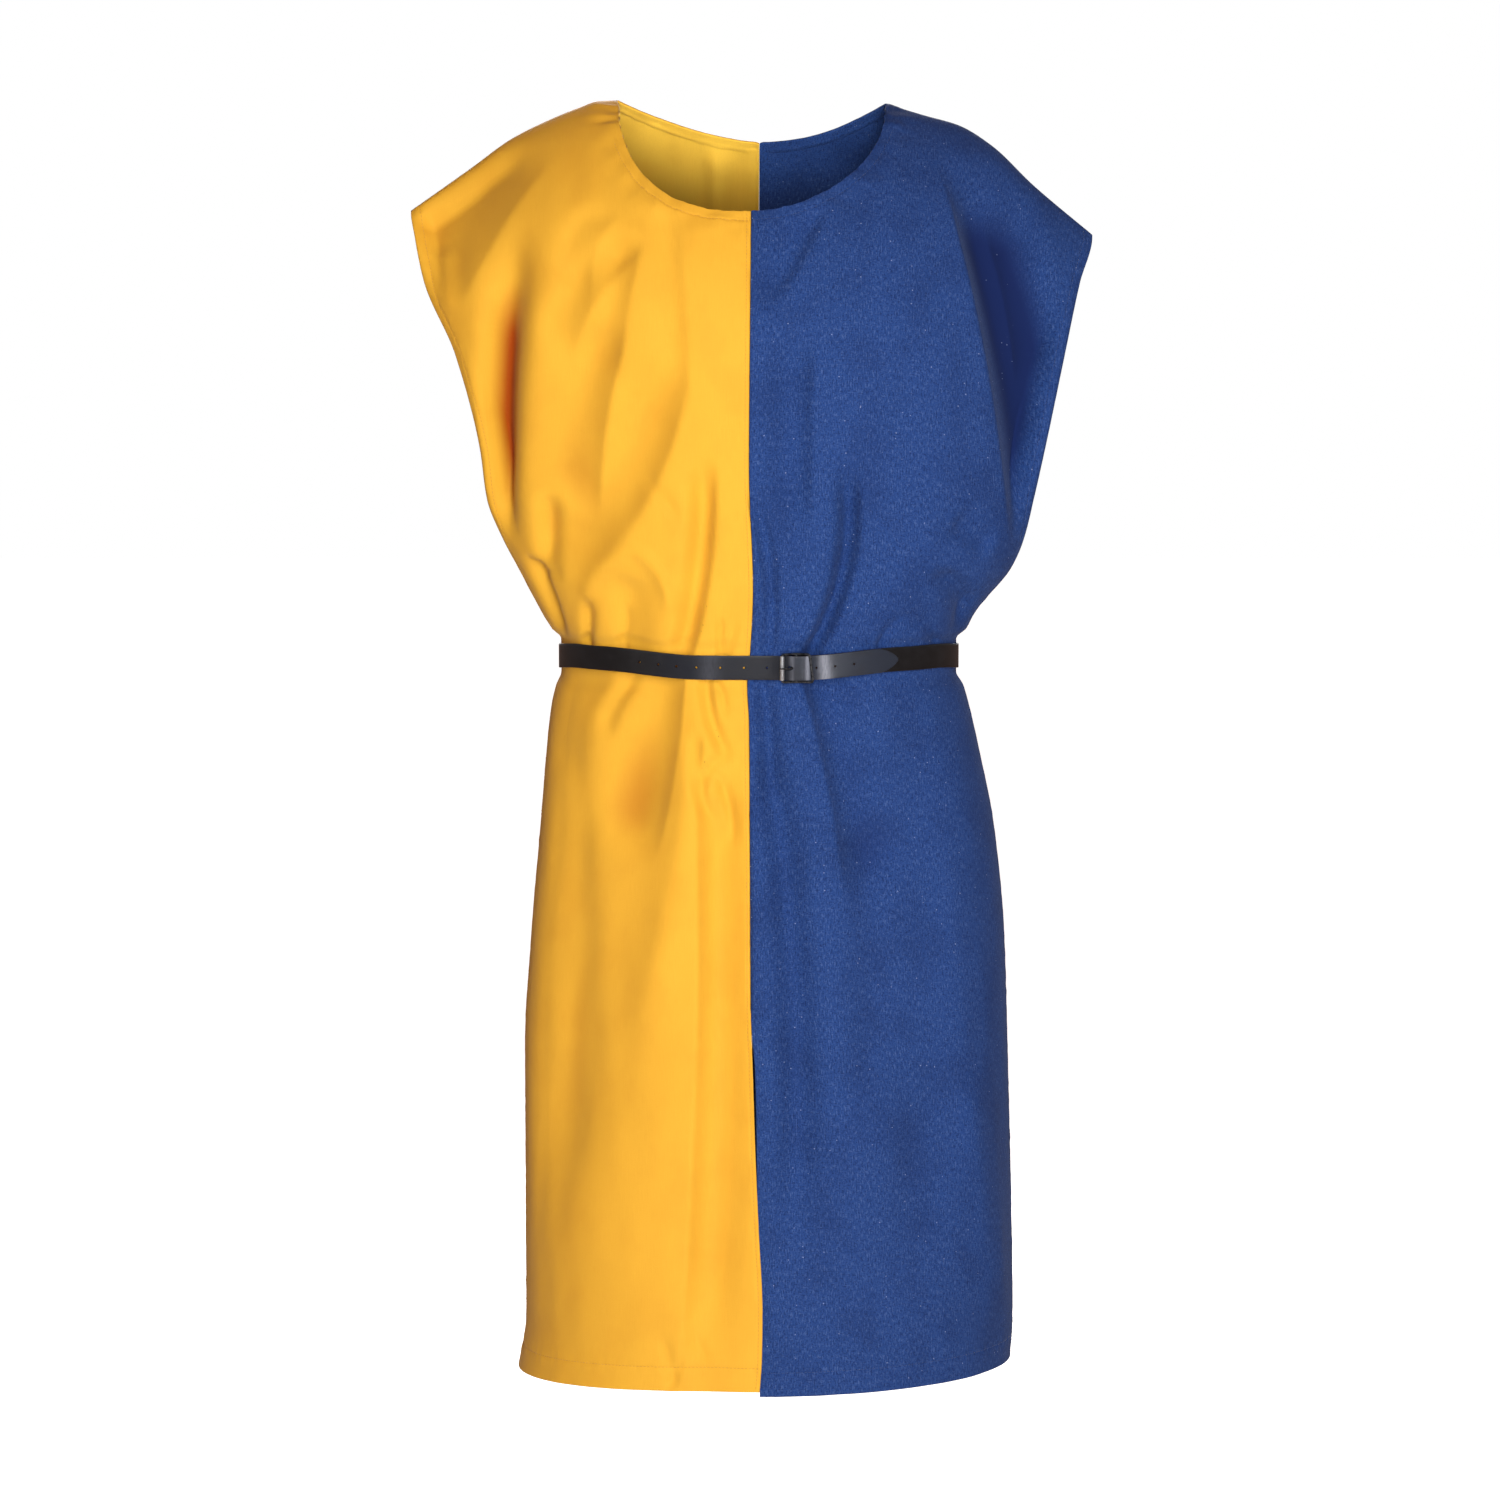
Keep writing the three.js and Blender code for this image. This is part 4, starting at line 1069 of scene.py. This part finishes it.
def holeCutter(place, radius, stretch):
    # Flared at the outer face, as a punched hole wears, and narrower towards the cloth.
    half = belt["thickness"] / 2
    bpy.ops.object.select_all(action="DESELECT")
    settings = {"vertices": 20, "radius": radius * mm, "depth": (belt["thickness"] - 0.7) * mm}
    bpy.ops.mesh.primitive_cylinder_add(rotation=(math.pi / 2, 0, 0), **settings)
    cutter = bpy.context.object
    bpy.ops.object.transform_apply(rotation=True)
    bpy.ops.object.mode_set(mode="EDIT")
    bpy.ops.mesh.select_mode(type="FACE")
    for way, steps in ((-1, ((1.35, 0.4), (1.02, 2))), (1, ((0.75, 0.4), (1, 2)))):
        for grow, out in steps:
            bpy.ops.mesh.select_all(action="DESELECT")
            bpy.ops.object.mode_set(mode="OBJECT")
            for face in cutter.data.polygons:
                outside = face.center.y * way > (half - 0.4) * mm
                face.select = face.normal.y * way > 0.9 and outside and len(face.vertices) > 4
            bpy.ops.object.mode_set(mode="EDIT")
            move = {"value": (0, way * out * mm, 0)}
            bpy.ops.mesh.extrude_region_move(TRANSFORM_OT_translate=move)
            bpy.ops.transform.resize(value=(grow, 1, grow))
    bpy.ops.object.mode_set(mode="OBJECT")
    cutter.scale.x = stretch
    cutter.location.x = place * mm
    bpy.ops.object.transform_apply(location=True, scale=True)
    return cutter


def buildStrap(waist, leather, cutEdge):
    path, run, alongs = strapPath(waist)
    length, loop = run[-1], waist[1][-1]
    bpy.ops.object.select_all(action="DESELECT")
    bpy.ops.mesh.primitive_cube_add(size=1, location=(length / 2 * mm, 0, 0))
    strap = bpy.context.object
    strap.name = "strap_leather"
    strap.scale = (length * mm, belt["thickness"] * mm, belt["width"] * mm)
    bpy.ops.object.transform_apply(location=True, scale=True)
    for axis, cuts in ((2, 9), (0, 99), (0, 9)):
        bpy.ops.object.mode_set(mode="EDIT")
        bpy.ops.mesh.select_mode(type="EDGE")
        bpy.ops.mesh.select_all(action="DESELECT")
        bpy.ops.object.mode_set(mode="OBJECT")
        corners = strap.data.vertices
        for edge in strap.data.edges:
            first, last = (corners[corner].co for corner in edge.vertices)
            edge.select = abs(last[axis] - first[axis]) > 1e-5
        bpy.ops.object.mode_set(mode="EDIT")
        bpy.ops.mesh.subdivide(number_cuts=cuts)
        bpy.ops.object.mode_set(mode="OBJECT")
    fromBar = freeEnd["along"][-1] - length
    for corner in strap.data.vertices:
        if corner.co.x > (length - belt["tipLength"]) * mm:
            place = corner.co.x / mm + fromBar
            corner.co.z *= float(readTable(freeEnd, "along", place, "width"))
    roundEdges(strap, belt["edgeRound"])
    outer = np.flatnonzero(alongs > loop - 150)
    holes = [(np.interp(x, path[outer, 0], run[outer]), belt["holeRadius"], 1) for x in belt["holeX"]]
    slot = np.interp(loop + np.array(belt["prongSlot"]), alongs[outer], run[outer])
    stretch = (slot[1] - slot[0]) / 2 / belt["slotRadius"]
    holes.append((sum(slot) / 2, belt["slotRadius"], stretch))
    fold = belt["foldEnd"] + belt["wrapRadius"] * math.pi / 2
    holes.append((fold, belt["foldSlotRadius"], belt["foldSlotStretch"]))
    cutter = joined([holeCutter(*hole) for hole in holes], "punch")
    cutAway(strap, cutter)
    strap.data.materials.clear()
    strap.data.materials.append(leather)
    strap.data.materials.append(cutEdge)
    for face in strap.data.polygons:
        face.material_index = int(abs(face.normal.y) < 0.6)
    places = np.array([corner.co.x for corner in strap.data.vertices]) / mm
    # The free end: greyer from handling, with a painted cool sheen.
    handledSheen = 0.4 * smoothStep((places - length + belt["handledSheenLength"]) / 45)
    handledSheen += 0.6 * smoothStep((places - length + belt["grippedSheenLength"]) / 12)
    places += fromBar
    # Painted highlights where the strap is bent round the buckle.
    pale = sum(much * bell(places - at, wide) for at, wide, much in belt["bends"])
    for shade, values in (("handledAndSheen", handledSheen), ("paintedHighlight", pale)):
        strap.data.attributes.new(shade, "FLOAT", "POINT").data.foreach_set("value", values)
    route = polyCurve("strap_path", path, np.ones(len(path)))
    route.data.twist_mode = "Z_UP"
    useModifier(strap, "CURVE", object=route, deform_axis="POS_X")
    bpy.data.objects.remove(route)
    only(strap)
    bpy.ops.object.shade_smooth_by_angle(angle=0.7)
    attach(strap, "root")
    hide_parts("belt_strap")
    print("Strap:", round(length), "mm long,", len(strap.data.polygons), "faces")
    return strap


def wireMesh(name, points, radius, shares, closed, material):
    # A round wire along a line of points, made as a curve with a bevel and then turned to mesh.
    wire = polyCurve(name, points, shares)
    wire.data.bevel_depth = radius * mm
    wire.data.bevel_resolution = 4
    wire.data.use_fill_caps = not closed
    wire.data.splines[0].use_cyclic_u = closed
    only(wire)
    bpy.ops.object.convert(target="MESH")
    wire = bpy.context.object
    bpy.ops.object.mode_set(mode="EDIT")
    bpy.ops.mesh.select_all(action="SELECT")
    bpy.ops.mesh.remove_doubles(threshold=0.001 * mm)  # the caps are welded on
    bpy.ops.object.mode_set(mode="OBJECT")
    wire.data.materials.clear()
    wire.data.materials.append(material)
    return wire


def frameLine():
    # The buckle's frame as one closed line with rounded corners.
    half = (buckle["height"] - buckle["side"]) / 2
    left = buckle["rollerAlong"]
    corners = [(left, -half), (buckle["rightTop"], -half), (buckle["rightFoot"], half), (left, half)]
    line = []
    for at, corner in enumerate(corners):
        corner = np.array(corner)
        before, after = np.array(corners[at - 1]), np.array(corners[(at + 1) % 4])
        start = corner + unit(before - corner) * buckle["corner"]
        end = corner + unit(after - corner) * buckle["corner"]
        for t in np.linspace(0, 1, 9):
            line.append(start * (1 - t) ** 2 + 2 * corner * t * (1 - t) + end * t * t)
        following = np.array(after) + unit(corner - after) * buckle["corner"]
        line.extend(end + (following - end) * t for t in np.linspace(0, 1, 14)[1:-1])
    line = np.array(line)
    rise = readTable(buckleArch, "along", line[:, 0], "rise")
    return np.stack([line[:, 0], rise, line[:, 1]], -1)


def tube(along, rise, radius, bore, length, material):
    # A rolled tube across the belt with chamfered ends and an open seam at the back.
    bpy.ops.object.select_all(action="DESELECT")
    settings = {"radius": bore * mm, "depth": length * mm, "end_fill_type": "NOTHING"}
    bpy.ops.mesh.primitive_cylinder_add(vertices=40, **settings)
    roller = bpy.context.object
    useModifier(roller, "SOLIDIFY", thickness=(radius - bore) * mm, offset=1)
    roundEdges(roller, buckle["tubeRound"])
    bpy.ops.mesh.primitive_cube_add(size=1, location=(0, -(radius + bore) / 2 * mm, 0))
    cutter = bpy.context.object
    cutter.scale = (buckle["tubeSeam"] * mm, 2 * mm, length * 1.2 * mm)
    cutAway(roller, cutter)
    only(roller)
    roller.location = (along * mm, rise * mm, 0)
    bpy.ops.object.transform_apply(location=True)
    bpy.ops.object.shade_smooth_by_angle(angle=0.6)
    roller.data.materials.append(material)
    return roller


def buildBuckle(waist, gunmetal, steel):
    start, ahead = beltPlace(waist, np.array([0.0, 1.0]), 0)
    tangent = unit((ahead - start) * (1, 1, 0))
    outward = np.array([tangent[1], -tangent[0], 0])
    place = Matrix.Identity(4)
    for axis, column in enumerate((tangent, outward, (0, 0, -1))):
        for row in range(3):
            place[row][axis] = column[row]
    place.translation = Vector((start[0], start[1], beltLevel)) * mm
    reach = (buckle["height"] - buckle["side"]) / 2
    line = frameLine()
    ring = wireMesh("buckle_frame", line, buckle["wire"], np.ones(len(line)), True, gunmetal)
    ends = [(0, buckle["barRise"], end) for end in (-reach, reach)]
    bar = wireMesh("centre_bar", ends, buckle["barRadius"], (1, 1), False, gunmetal)
    body = joined([ring, bar], "buckle_frame")
    rolled = [buckle[key] for key in ("rollerAlong", "rollerRise", "rollerRadius", "rollerBore")]
    roller = tube(*rolled, buckle["rollerLength"], steel)
    roller.name = "buckle_roller"
    share = np.linspace(0, 1, 25)
    rows = np.linspace(0, 1, len(prong["along"]))
    table = {"t": rows, "along": prong["along"], "rise": prong["rise"], "radius": prong["radius"]}
    x, y, radii = (readTable(table, "t", share, column) for column in ("along", "rise", "radius"))
    tongue = wireMesh("tongue", np.stack([x, y, 0 * x], -1), prong["wire"], radii, False, gunmetal)
    eye = [0, buckle["barRise"], prong["eyeRadius"], buckle["barBore"], prong["eyeWidth"]]
    eye = tube(*eye, gunmetal)
    pin = joined([tongue, eye], "buckle_prong")
    for piece, node, slot in (
        (body, "belt_buckle", "gunmetal"),
        (roller, "belt_roller", "steel"),
        (pin, "belt_prong", "gunmetal"),
    ):
        piece.data.transform(place)
        only(piece)
        bpy.ops.object.shade_smooth_by_angle(angle=0.7)
        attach(piece, "root")
        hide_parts(node)
    print("Buckle: frame, roller, prong")


buildStudio()
bpy.context.view_layer.update()
cotton = {half: cottonCloth(row) for half, row in cottons.items()}
thread = {half: cottonThread(half) for half in threads}
leather, cutEdge = beltLeather("belt_leather"), beltLeather("belt_leather_cut_edge", True)
gunmetal, steel = platedMetal("gunmetal"), platedMetal("bright_steel")
print("Materials: two cottons, two threads, leather, gunmetal, steel")
form = stitchForm()
for half in ("yellow", "blue"):
    for face in ("front", "back"):
        panel = clothPanel(half, face)
        name = f"cloth_{face}_{half}"
        points, faces, flat, shades = closedWall(panel)
        piece = makeMesh(name, points, faces, cotton[half], flat, shades)
        lines = [
            traced(panel, panel["fromSide"], cloth["sideHem"] - 1, 1),
            traced(panel, panel["fromHem"], cloth["bottomHem"], 0),
            traced(panel, panel["fromNeck"], cloth["neckHem"], 0),
        ]
        if half == "yellow" and face == "front":
            lines.append(traced(panel, panel["fromCentre"], cloth["topstitch"], 1))
        stitches = sewLines(f"stitches_{face}_{half}", lines, thread[half], form)
        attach(piece, "root")
        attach(stitches, "root")
        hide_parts(f"{face}_{half}")
waist = waistLine()
buildStrap(waist, leather, cutEdge)
buildBuckle(waist, gunmetal, steel)
